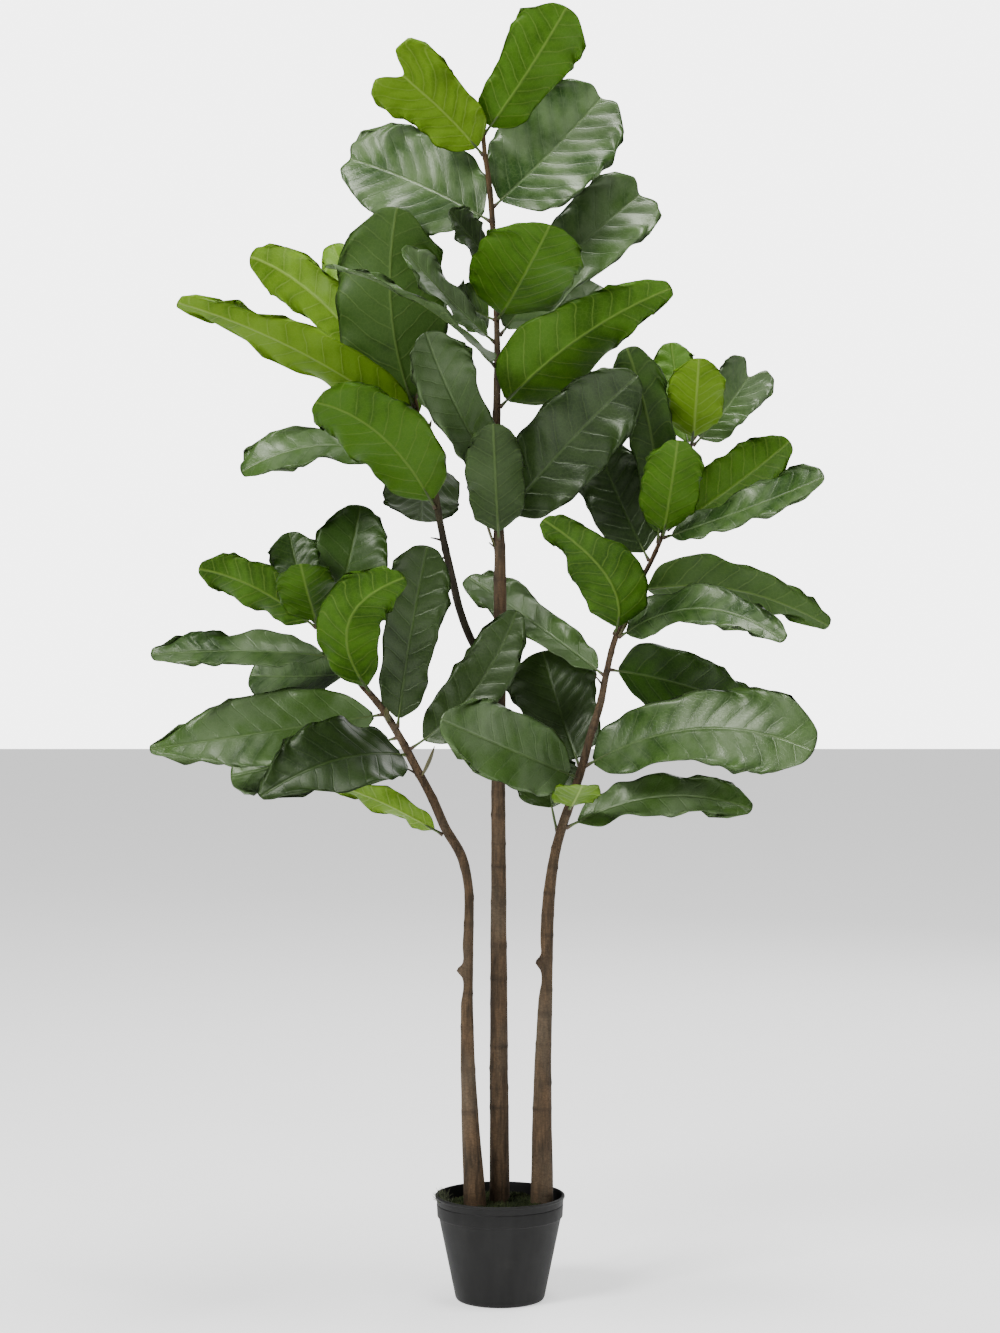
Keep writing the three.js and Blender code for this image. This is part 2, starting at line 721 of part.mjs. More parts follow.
function fromManifold(body) {
  const mesh = body.getMesh();
  const geometry = new THREE.BufferGeometry();
  geometry.setAttribute("position", new THREE.Float32BufferAttribute(mesh.vertProperties, 3));
  geometry.setIndex(Array.from(mesh.triVerts));
  geometry.computeVertexNormals();
  return geometry;
}

function withSockets(blank) {
  let body = toManifold(blank);
  for (const path of [TRUNK_CENTRE, TRUNK_LEFT, TRUNK_RIGHT]) {
    body = body.subtract(toManifold(socketCutter(path)));
  }
  return fromManifold(body);
}

// ---- finishes ----
function finish(color, roughness) {
  return new THREE.MeshStandardMaterial({ color, roughness, metalness: 0 });
}

function potPlastic() {
  return finish(0x2b2b2c, 0.7);
}

function mossGreen() {
  return finish(0x34401f, 0.95);
}

function oldBark() {
  return finish(0x5b4a3c, 0.85);
}

function youngBark() {
  return finish(0x3a2a22, 0.85);
}

function leafGreen() {
  return finish(0x2f5a1e, 0.45);
}

function addPiece(parent, name, geometry, material) {
  const mesh = new THREE.Mesh(geometry, material);
  mesh.name = name;
  parent.add(mesh);
}

// ---- assembly ----
const group = new THREE.Group();
group.name = "potted_fiddle_leaf_fig";

function addPot(parent) {
  addPiece(parent, "pot", potGeometry(), potPlastic());
  addPiece(parent, "soil", withSockets(soilBlank()), mossGreen());
}

function addStems(parent) {
  addPiece(parent, "trunk_centre", stemGeometry(STEMS.centre, KNOTS.centre), oldBark());
  addPiece(parent, "trunk_left", stemGeometry(STEMS.left, KNOTS.left), oldBark());
  addPiece(parent, "trunk_right", stemGeometry(STEMS.right, KNOTS.right), oldBark());
  addPiece(parent, "side_branch", stemGeometry(STEMS.branch, KNOTS.branch), youngBark());
}

function addLeaves(parent) {
  for (const { stem, letter, leaves } of FOLIAGE) {
    leaves.forEach((leaf, index) => {
      const name = `leaf_${letter}${String(index + 1).padStart(2, "0")}`;
      addPiece(parent, name, leafGeometry(STEMS[stem], leaf), leafGreen());
    });
  }
}

addPot(group);
addStems(group);
addLeaves(group);

export default group;
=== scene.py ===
"""Looks of a potted fiddle leaf fig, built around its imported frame.

Every piece is shaped from the frame's own solids: the leaves from their
eight-point rings, the stems from their ten-point rings, the pot and the soil
from their turned profiles. Metres, +Z up, the plant's front faces -Y.
"""

from __future__ import annotations

import logging
import math
from dataclasses import dataclass, field
from enum import Enum
from typing import Any, Sequence

import bpy
import numpy as np
from mathutils import Euler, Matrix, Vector


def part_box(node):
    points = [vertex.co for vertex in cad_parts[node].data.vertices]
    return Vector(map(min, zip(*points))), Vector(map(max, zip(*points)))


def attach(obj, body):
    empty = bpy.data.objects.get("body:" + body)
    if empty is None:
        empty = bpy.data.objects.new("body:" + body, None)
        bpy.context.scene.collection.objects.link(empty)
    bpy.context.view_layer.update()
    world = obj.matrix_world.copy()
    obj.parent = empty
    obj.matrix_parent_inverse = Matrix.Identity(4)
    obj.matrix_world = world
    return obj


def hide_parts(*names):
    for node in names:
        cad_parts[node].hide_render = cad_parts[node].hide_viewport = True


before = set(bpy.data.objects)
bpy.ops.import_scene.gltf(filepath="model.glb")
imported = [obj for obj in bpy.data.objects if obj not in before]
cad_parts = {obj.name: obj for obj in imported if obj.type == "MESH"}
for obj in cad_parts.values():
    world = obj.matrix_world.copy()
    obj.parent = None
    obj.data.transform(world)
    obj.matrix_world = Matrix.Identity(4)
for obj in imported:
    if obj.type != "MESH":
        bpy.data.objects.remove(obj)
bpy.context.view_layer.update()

LOG = logging.getLogger("fig")
Array = np.ndarray


# ---------------------------------------------------------------- shader sketch
class Signal:
    """A number worked out by a shader, with Python's own operators."""

    def __init__(self, sketch: "Sketch", socket: bpy.types.NodeSocket) -> None:
        """Keeps the socket that carries the number."""
        self.sketch = sketch
        self.socket = socket

    def __add__(self, other: Any) -> "Signal":
        """Adds a number or a signal."""
        return self.sketch.math("ADD", self, other)

    __radd__ = __add__

    def __mul__(self, other: Any) -> "Signal":
        """Multiplies by a number or a signal."""
        return self.sketch.math("MULTIPLY", self, other)

    __rmul__ = __mul__

    def __sub__(self, other: Any) -> "Signal":
        """Takes a number or a signal away."""
        return self.sketch.math("SUBTRACT", self, other)

    def __rsub__(self, other: Any) -> "Signal":
        """Takes this signal away from a number."""
        return self.sketch.math("SUBTRACT", other, self)

    def __truediv__(self, other: Any) -> "Signal":
        """Divides by a number or a signal."""
        return self.sketch.math("DIVIDE", self, other)

    def __pow__(self, other: Any) -> "Signal":
        """Raises to a power."""
        return self.sketch.math("POWER", self, other)

    def __abs__(self) -> "Signal":
        """Drops the sign."""
        return self.sketch.math("ABSOLUTE", self)


class Sketch:
    """Builds one material's node tree from expressions."""

    def __init__(self, name: str) -> None:
        """Starts an empty material.

        Args:
            name: the material's name.
        """
        self.material = bpy.data.materials.new(name)
        self.material.use_nodes = True
        self.tree = self.material.node_tree
        self.tree.nodes.clear()

    def node(
        self,
        kind: str,
        settings: dict[str, Any] | None = None,
        inputs: dict[Any, Any] | None = None,
    ) -> bpy.types.Node:
        """Adds one node.

        Args:
            kind: the node's type.
            settings: its properties, a ramp's stops under "stops".
            inputs: values or links of its sockets, by name or number.

        Returns:
            The node.
        """
        made = self.tree.nodes.new(kind)
        for key, value in (settings or {}).items():
            if key == "stops":
                self._set_stops(made.color_ramp, value)
            else:
                setattr(made, key, value)
        for key, value in (inputs or {}).items():
            if isinstance(value, Signal):
                value = value.socket
            if isinstance(value, bpy.types.NodeSocket):
                self.tree.links.new(value, made.inputs[key])
            else:
                made.inputs[key].default_value = value
        return made

    @staticmethod
    def _set_stops(ramp: bpy.types.ColorRamp, stops: Sequence[tuple]) -> None:
        """Gives a ramp its stops, each a place and a colour."""
        while len(ramp.elements) < len(stops):
            ramp.elements.new(1.0)
        for element, (place, colour) in zip(ramp.elements, stops):
            element.position = place
            element.color = (*colour, 1.0)

    def math(self, operation: str, *values: Any) -> Signal:
        """One Math node on numbers and signals."""
        made = self.node(
            "ShaderNodeMath", {"operation": operation}, dict(enumerate(values))
        )
        return Signal(self, made.outputs[0])

    def attribute(self, name: str) -> Signal:
        """Reads a number that the mesh carries."""
        made = self.node("ShaderNodeAttribute", {"attribute_name": name})
        return Signal(self, made.outputs["Fac"])

    def place(self, stretch: Sequence[float] = (1, 1, 1)) -> bpy.types.NodeSocket:
        """Object coordinates, stretched along the axes."""
        source = self.node("ShaderNodeTexCoord")
        mapping = self.node(
            "ShaderNodeMapping",
            None,
            {"Vector": source.outputs["Object"], "Scale": tuple(stretch)},
        )
        return mapping.outputs[0]

    def vector(self, x: Any, y: Any, z: Any = 0.0) -> bpy.types.NodeSocket:
        """Makes a vector of three numbers or signals."""
        return self.node("ShaderNodeCombineXYZ", None, {0: x, 1: y, 2: z}).outputs[0]

    def noise(
        self,
        at: bpy.types.NodeSocket,
        scale: float,
        detail: float = 3.0,
        roughness: float = 0.5,
    ) -> Signal:
        """Soft noise between about 0 and 1."""
        made = self.node(
            "ShaderNodeTexNoise",
            None,
            {"Vector": at, "Scale": scale, "Detail": detail, "Roughness": roughness},
        )
        return Signal(self, made.outputs["Fac"])

    def cells(self, at: bpy.types.NodeSocket, scale: float) -> Signal:
        """Distance from the nearest border between cells."""
        made = self.node(
            "ShaderNodeTexVoronoi",
            {"feature": "DISTANCE_TO_EDGE"},
            {"Vector": at, "Scale": scale},
        )
        return Signal(self, made.outputs["Distance"])

    def step(self, value: Signal, low: float, high: float) -> Signal:
        """Rises smoothly from 0 at low to 1 at high."""
        made = self.node(
            "ShaderNodeMapRange",
            {"interpolation_type": "SMOOTHSTEP"},
            {"Value": value, "From Min": low, "From Max": high},
        )
        return Signal(self, made.outputs["Result"])

    def blend(self, factor: Signal, first: Any, second: Any) -> bpy.types.NodeSocket:
        """Mixes two colours.

        Args:
            factor: 0 for the first colour, 1 for the second.
            first: a colour or a socket.
            second: a colour or a socket.

        Returns:
            The mixed colour's socket.
        """
        made = self.node("ShaderNodeMix", {"data_type": "RGBA"})
        self.tree.links.new(factor.socket, made.inputs[0])
        for number, value in ((6, first), (7, second)):
            if isinstance(value, bpy.types.NodeSocket):
                self.tree.links.new(value, made.inputs[number])
            else:
                made.inputs[number].default_value = (*value, 1.0)
        return made.outputs[2]

    def bump(self, height: Signal, strength: float, distance: float) -> bpy.types.NodeSocket:
        """Turns a height into a normal.

        Args:
            height: the height, about 0 to 1.
            strength: how much of it shows.
            distance: what a height of 1 stands for, in metres.

        Returns:
            The normal's socket.
        """
        made = self.node(
            "ShaderNodeBump",
            None,
            {"Height": height, "Strength": strength, "Distance": distance},
        )
        return made.outputs[0]

    def finish(
        self,
        surface: dict[str, Any],
        glow_through: tuple[float, tuple[float, float, float]] | None = None,
    ) -> bpy.types.Material:
        """Ends the tree.

        Args:
            surface: sockets of the Principled shader.
            glow_through: share and colour of light let through, if any.

        Returns:
            The material.
        """
        shader = self.node("ShaderNodeBsdfPrincipled", None, surface)
        last = shader.outputs[0]
        if glow_through:
            share, colour = glow_through
            thin = self.node(
                "ShaderNodeBsdfTranslucent", None, {"Color": (*colour, 1.0)}
            )
            mix = self.node("ShaderNodeMixShader", None, {0: share, 1: last, 2: thin.outputs[0]})
            last = mix.outputs[0]
        self.node("ShaderNodeOutputMaterial", None, {"Surface": last})
        return self.material


# ---------------------------------------------------------------- finishes
Colour = tuple[float, float, float]


@dataclass(frozen=True)
class LeafFinish:
    """One side of a leaf: its greens, its veins, how it shines and its painted sheen."""

    name: str
    deep: Colour
    pale: Colour
    vein: Colour
    roughness: float
    vein_share: float
    raised: bool
    glow: Colour
    glow_share: float = 0.12
    # Strength of the pale patches that paint sheen into the base colour.
    painted_sheen: float = 0.0
    sheen: Colour = (0.92, 1.0, 0.80)

    def build(self) -> bpy.types.Material:
        """Builds the material from the leaf's own measures.

        Returns:
            The material.
        """
        sk = Sketch(self.name)
        side = sk.attribute("leaf_side")
        run = sk.attribute("leaf_run")
        along = sk.attribute("leaf_along")
        tint = sk.attribute("leaf_tint")
        spacing = sk.attribute("leaf_spacing")
        width = abs(side)
        spot = sk.vector(side, run, tint)
        wobble = sk.noise(spot, 42.0, 2.0) * 0.008
        midrib = 1.0 - sk.step(width, 0.0007, 0.0026)
        bow = width * 0.62 + width * width * 3.6
        phase = (run - bow + wobble + sk.step(side, -0.0005, 0.0005) * spacing * 0.5) / spacing
        ridge = abs(sk.math("FRACT", phase) - 0.5) * spacing
        lateral = (1.0 - sk.step(ridge, 0.0004, 0.0017)) * sk.step(width, 0.0005, 0.004)
        lateral = lateral * (1.0 - along * 0.35)
        net = 1.0 - sk.step(sk.cells(spot, 170.0), 0.02, 0.11)
        veins = sk.math("MAXIMUM", midrib, lateral * 0.8)
        fade = sk.noise(spot, 16.0, 3.0)
        speck = sk.noise(spot, 120.0, 2.0)
        quilt = sk.step(ridge, 0.0, 0.011)
        # Random tone from noise and the leaf's tint, with painted shade: the quilt term darkens the
        # greens towards the lateral veins, in the quilting's grooves.
        tone_and_groove_shade = sk.step(fade * 0.82 + speck * 0.10 + quilt * 0.12 + tint * 0.24, 0.38, 0.76)
        base = sk.blend(tone_and_groove_shade, self.deep, self.pale)
        base = sk.blend(net * 0.14, base, self.vein)
        base = sk.blend(veins * self.vein_share, base, self.vein)
        # Pale grey-green patches laid into the base colour: painted sheen of light on the wax.
        if self.painted_sheen:
            painted_sheen_mask = sk.step(sk.noise(spot, 15.0, 4.0, 0.6), 0.36, 0.68) * self.painted_sheen
            base = sk.blend(painted_sheen_mask * (1.0 - veins * 0.5), base, (0.130, 0.172, 0.098))
        lift = veins if self.raised else 1.0 - veins
        relief = lift * 0.62 + quilt * 0.3 + net * (0.1 if self.raised else -0.1) + speck * 0.08
        rough = self.roughness + speck * 0.1 + fade * 0.08 - 0.08
        return sk.finish(
            {
                "Base Color": base,
                "Roughness": rough,
                "Normal": sk.bump(relief, 0.8, 0.0008),
                "Specular IOR Level": 0.34,
                "Specular Tint": (*self.sheen, 1.0),
                "Coat Weight": sk.step(fade, 0.35, 0.8) * 0.16,
                "Coat Roughness": 0.32,
            },
            (self.glow_share, self.glow),
        )


@dataclass(frozen=True)
class BarkFinish:
    """Bark: two browns, a lichen-pale grey and the depth of its furrows."""

    name: str
    dark: Colour
    light: Colour
    grey: Colour
    furrow: float
    shoot: Colour = (0.085, 0.050, 0.016)

    def build(self) -> bpy.types.Material:
        """Builds the material from lengthwise streaks, furrows and pores.

        Returns:
            The material.
        """
        sk = Sketch(self.name)
        grain = sk.noise(sk.place((1, 1, 0.12)), 240.0, 5.0, 0.62)
        plate = sk.noise(sk.place((1, 1, 0.3)), 70.0, 4.0, 0.55)
        patch = sk.noise(sk.place((1, 1, 0.5)), 13.0, 3.0)
        pores = 1.0 - sk.step(sk.cells(sk.place((1, 1, 2.2)), 120.0), 0.02, 0.12)
        rings = sk.attribute("scar")
        tone = sk.step(grain * 0.5 + plate * 0.5, 0.32, 0.7)
        base = sk.blend(tone, self.dark, self.light)
        base = sk.blend(sk.step(patch, 0.45, 0.72) * 0.6, base, self.grey)
        base = sk.blend(pores * 0.3, base, self.dark)
        base = sk.blend(sk.attribute("youth") * 0.75, base, self.shoot)
        base = sk.blend(rings * 0.7, base, tuple(0.45 * part for part in self.dark))
        height = grain * 0.5 + plate * 0.5 - pores * 0.12 - rings * 0.3
        return sk.finish(
            {
                "Base Color": base,
                "Roughness": 0.93 - grain * 0.22,
                "Normal": sk.bump(height, 0.9, self.furrow),
                "Specular IOR Level": 0.3,
            }
        )


@dataclass(frozen=True)
class PlasticFinish:
    """Moulded matte plastic with fine texture, flow streaks and rubbed edges."""

    name: str = "pot_charcoal_plastic"
    base: Colour = (0.0050, 0.0050, 0.0048)
    worn: Colour = (0.0125, 0.0125, 0.0120)
    dusty: Colour = (0.019, 0.0185, 0.0165)

    def build(self) -> bpy.types.Material:
        """Builds the material.

        Returns:
            The material.
        """
        sk = Sketch(self.name)
        grain = sk.noise(sk.place(), 900.0, 2.0)
        flow = sk.noise(sk.place((1, 1, 0.08)), 46.0, 4.0)
        cloud = sk.noise(sk.place(), 24.0, 4.0, 0.6)
        edge = sk.attribute("edge_wear")
        base = sk.blend(sk.step(flow, 0.35, 0.75) * 0.5, self.base, self.worn)
        base = sk.blend(sk.step(cloud, 0.52, 0.8) * 0.45, base, self.dusty)
        base = sk.blend(edge * sk.step(grain + cloud, 0.7, 1.2) * 0.8, base, self.worn)
        return sk.finish(
            {
                "Base Color": base,
                "Roughness": 0.50 + cloud * 0.22 - edge * 0.1,
                "Normal": sk.bump(grain * 0.7 + flow * 0.3, 0.35, 0.0004),
                "Specular IOR Level": 0.22,
            }
        )


@dataclass(frozen=True)
class EarthFinish:
    """Damp soil or moss: two tones that change over a few millimetres."""

    name: str
    dark: Colour
    light: Colour
    fleck: Colour
    scale: float = 190.0

    def build(self) -> bpy.types.Material:
        """Builds the material.

        Returns:
            The material.
        """
        sk = Sketch(self.name)
        crumb = sk.noise(sk.place(), self.scale, 5.0, 0.7)
        patch = sk.noise(sk.place(), 34.0, 3.0)
        clod = sk.cells(sk.place(), self.scale * 1.4)
        base = sk.blend(sk.step(crumb * 0.7 + patch * 0.3, 0.35, 0.68), self.dark, self.light)
        base = sk.blend(sk.step(patch, 0.5, 0.75) * 0.6, base, self.fleck)
        return sk.finish(
            {
                "Base Color": base,
                "Roughness": 0.96 - crumb * 0.14,
                "Normal": sk.bump(crumb * 0.7 + clod * 0.6, 1.0, 0.003),
                "Specular IOR Level": 0.2,
            }
        )


@dataclass(frozen=True)
class StalkFinish:
    """Smooth green stalk that browns towards one end."""

    name: str
    green: Colour
    brown: Colour

    def build(self) -> bpy.types.Material:
        """Builds the material.

        Returns:
            The material.
        """
        sk = Sketch(self.name)
        fibre = sk.noise(sk.place((1, 1, 0.4)), 300.0, 4.0)
        patch = sk.noise(sk.place(), 60.0, 2.0)
        tone = sk.step(patch * 0.5 + sk.attribute("browning") * 0.8, 0.25, 0.95)
        base = sk.blend(tone, self.green, self.brown)
        base = sk.blend(fibre * 0.3, base, tuple(0.5 * part for part in self.brown))
        return sk.finish(
            {
                "Base Color": base,
                "Roughness": 0.5 + fibre * 0.2,
                "Normal": sk.bump(fibre, 0.5, 0.0004),
            }
        )


class Tone(Enum):
    """How old a leaf is, with painted sheen in the grey tone and painted shade from inside the crown in
    the dark tone.
    """

    SPRING = "spring"
    FRESH = "fresh"
    MID = "mid"
    GREY = "grey"
    DARK = "dark"


TOP_FINISHES = {
    Tone.SPRING: LeafFinish(
        "leaf_top_spring", (0.034, 0.094, 0.001), (0.088, 0.192, 0.005),
        (0.17, 0.27, 0.045), 0.42, 0.55, False, (0.14, 0.32, 0.003), 0.14, 0.0,
        (0.72, 1.0, 0.28),
    ),
    Tone.FRESH: LeafFinish(
        "leaf_top_fresh", (0.009, 0.038, 0.0008), (0.038, 0.106, 0.004),
        (0.10, 0.18, 0.025), 0.42, 0.50, False, (0.09, 0.24, 0.003), 0.12, 0.0,
        (0.68, 1.0, 0.28),
    ),
    Tone.MID: LeafFinish(
        "leaf_top_mid", (0.006, 0.025, 0.0008), (0.020, 0.056, 0.003),
        (0.070, 0.125, 0.025), 0.38, 0.42, False, (0.06, 0.18, 0.01), 0.09,
    ),
    # Paler, greyer greens with sheen patches: painted sheen on the upper side.
    Tone.GREY: LeafFinish(
        "leaf_top_grey", (0.009, 0.032, 0.003), (0.038, 0.084, 0.013),
        (0.095, 0.150, 0.050), 0.33, 0.42, False, (0.05, 0.15, 0.01), 0.06, 0.42,
    ),
    # Darker greens of older leaves with the shade inside the crown painted in.
    Tone.DARK: LeafFinish(
        "leaf_top_dark", (0.006, 0.017, 0.002), (0.016, 0.036, 0.005),
        (0.048, 0.086, 0.020), 0.36, 0.38, False, (0.03, 0.11, 0.005), 0.06,
    ),
}
UNDER_FINISHES = {
    Tone.SPRING: LeafFinish(
        "leaf_under_spring", (0.044, 0.104, 0.001), (0.100, 0.200, 0.004),
        (0.20, 0.30, 0.05), 0.55, 0.70, True, (0.15, 0.34, 0.003), 0.16, 0.0,
        (0.72, 1.0, 0.28),
    ),
    Tone.FRESH: LeafFinish(
        "leaf_under_fresh", (0.010, 0.042, 0.0006), (0.038, 0.106, 0.003),
        (0.12, 0.20, 0.03), 0.55, 0.65, True, (0.10, 0.26, 0.003), 0.14, 0.0,
        (0.68, 1.0, 0.28),
    ),
    Tone.MID: LeafFinish(
        "leaf_under_mid", (0.008, 0.030, 0.0006), (0.024, 0.066, 0.002),
        (0.085, 0.145, 0.025), 0.58, 0.60, True, (0.07, 0.2, 0.01), 0.12,
    ),
    # Paler, greyer greens: painted sheen on the underside.
    Tone.GREY: LeafFinish(
        "leaf_under_grey", (0.022, 0.052, 0.010), (0.050, 0.090, 0.024),
        (0.11, 0.16, 0.05), 0.55, 0.55, True, (0.07, 0.18, 0.01), 0.08,
    ),
    # Darker greens of older leaves with the shade inside the crown painted in.
    Tone.DARK: LeafFinish(
        "leaf_under_dark", (0.009, 0.024, 0.002), (0.022, 0.050, 0.006),
        (0.07, 0.12, 0.025), 0.60, 0.55, True, (0.05, 0.14, 0.005), 0.08,
    ),
}
OLD_BARK = BarkFinish(
    "bark_old", (0.020, 0.013, 0.006), (0.098, 0.058, 0.028), (0.112, 0.086, 0.056), 0.0018
)
YOUNG_BARK = BarkFinish(
    "bark_young", (0.012, 0.009, 0.005), (0.040, 0.029, 0.015), (0.046, 0.044, 0.018), 0.0009
)
STALK = StalkFinish("stalk_green", (0.046, 0.085, 0.010), (0.050, 0.030, 0.012))
BUD = StalkFinish("bud_sheath", (0.060, 0.062, 0.014), (0.090, 0.050, 0.018))
SOIL = EarthFinish("soil_damp", (0.008, 0.007, 0.005), (0.030, 0.024, 0.016), (0.020, 0.026, 0.010))
MOSS = EarthFinish(
    "moss_dark_green", (0.014, 0.020, 0.007), (0.050, 0.070, 0.022), (0.095, 0.100, 0.045), 320.0
)


# ---------------------------------------------------------------- mesh helpers
def mesh_object(
    name: str,
    points: Array,
    faces: Sequence[Sequence[int]],
    materials: Sequence[bpy.types.Material],
    slots: Sequence[int] | None = None,
    numbers: dict[str, Array] | None = None,
) -> bpy.types.Object:
    """Makes one smooth-shaded mesh object at the origin.

    Args:
        name: the piece's name.
        points: corner positions in metres.
        faces: corner numbers of each face, seen from outside.
        materials: the piece's materials.
        slots: which material each face has.
        numbers: values the corners carry, by name.

    Returns:
        The object.
    """
    mesh = bpy.data.meshes.new(name)
    mesh.from_pydata([tuple(point) for point in points], [], [tuple(face) for face in faces])
    for material in materials:
        mesh.materials.append(material)
    if slots is not None:
        mesh.polygons.foreach_set("material_index", np.asarray(slots, dtype=np.int32))
    mesh.polygons.foreach_set("use_smooth", np.ones(len(mesh.polygons), dtype=bool))
    for key, values in (numbers or {}).items():
        layer = mesh.attributes.new(key, "FLOAT", "POINT")
        layer.data.foreach_set("value", np.asarray(values, dtype=np.float32))
    mesh.validate()
    mesh.update()
    piece = bpy.data.objects.new(name, mesh)
    bpy.context.scene.collection.objects.link(piece)
    return piece


def unit(vectors: Array) -> Array:
    """Scales vectors to length one."""
    return vectors / np.maximum(np.linalg.norm(vectors, axis=-1, keepdims=True), 1e-12)


def spline(knots: Array, values: Array, at: Array) -> Array:
    """Smooth curve through values, with slopes from the neighbours.

    Args:
        knots: rising places of the values.
        values: one row for each knot.
        at: places to read.

    Returns:
        One row for each place.
    """
    slopes = np.gradient(values, knots, axis=0)
    cell = np.clip(np.searchsorted(knots, at, side="right") - 1, 0, len(knots) - 2)
    span = knots[cell + 1] - knots[cell]
    shape = (-1,) + (1,) * (values.ndim - 1)
    t = ((at - knots[cell]) / span).reshape(shape)
    span = span.reshape(shape)
    low, high = values[cell], values[cell + 1]
    rise_low, rise_high = slopes[cell] * span, slopes[cell + 1] * span
    return (
        (2 * t**3 - 3 * t**2 + 1) * low
        + (t**3 - 2 * t**2 + t) * rise_low
        + (3 * t**2 - 2 * t**3) * high
        + (t**3 - t**2) * rise_high
    )


def smooth_step(value: Array, low: float, high: float) -> Array:
    """Rises smoothly from 0 at low to 1 at high."""
    t = np.clip((value - low) / (high - low), 0, 1)
    return t * t * (3 - 2 * t)


def tube(points: Array, radii: Array, sides: int) -> tuple[Array, list[list[int]]]:
    """A closed round tube along points.

    Args:
        points: the centre line.
        radii: the radius at each point.
        sides: corners round the tube.

    Returns:
        Corner positions and faces.
    """
    tangents = unit(np.gradient(points, axis=0))
    normal = unit(np.cross(tangents[0], [0.31, 0.17, 0.93]))
    rings = []
    turn = np.linspace(0, 2 * math.pi, sides, endpoint=False)
    for point, tangent, radius in zip(points, tangents, radii):
        normal = unit(normal - tangent * np.dot(normal, tangent))
        side = np.cross(tangent, normal)
        rings.append(
            point + radius * (np.cos(turn)[:, None] * normal + np.sin(turn)[:, None] * side)
        )
    corners = np.vstack(rings)
    faces = ring_faces(len(points), sides)
    faces.append(list(range(sides))[::-1])
    faces.append([(len(points) - 1) * sides + i for i in range(sides)])
    return corners, faces


def ring_faces(count: int, sides: int, first: int = 0) -> list[list[int]]:
    """Four-cornered faces between neighbouring rings."""
    faces = []
    for ring in range(count - 1):
        low = first + ring * sides
        for i in range(sides):
            j = (i + 1) % sides
            faces.append([low + i, low + j, low + sides + j, low + sides + i])
    return faces


@dataclass
class Cage:
    """A frame solid's corners and which of them are joined."""

    points: Array
    links: list[set[int]]

    @classmethod
    def of_node(cls, node: str) -> "Cage":
        """Merges a node's loose triangles into one net of corners."""
        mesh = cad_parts[node].data
        places: dict[tuple[int, ...], int] = {}
        points: list[Array] = []
        number = []
        for vertex in mesh.vertices:
            key = tuple(int(round(value * 5e4)) for value in vertex.co)
            if key not in places:
                places[key] = len(points)
                points.append(np.array(vertex.co, dtype=float))
            number.append(places[key])
        links: list[set[int]] = [set() for _ in points]
        for face in mesh.polygons:
            corners = [number[v] for v in face.vertices]
            for i, corner in enumerate(corners):
                links[corner].update(c for c in corners if c != corner)
        return cls(np.array(points), links)

    def levels(self, start: Sequence[int]) -> list[list[int]]:
        """Groups the corners by how many steps they are from the first ones."""
        seen = set(start)
        levels = [sorted(start)]
        while True:
            reached = {n for c in levels[-1] for n in self.links[c]} - seen
            if not reached:
                return levels
            seen |= reached
            levels.append(sorted(reached))


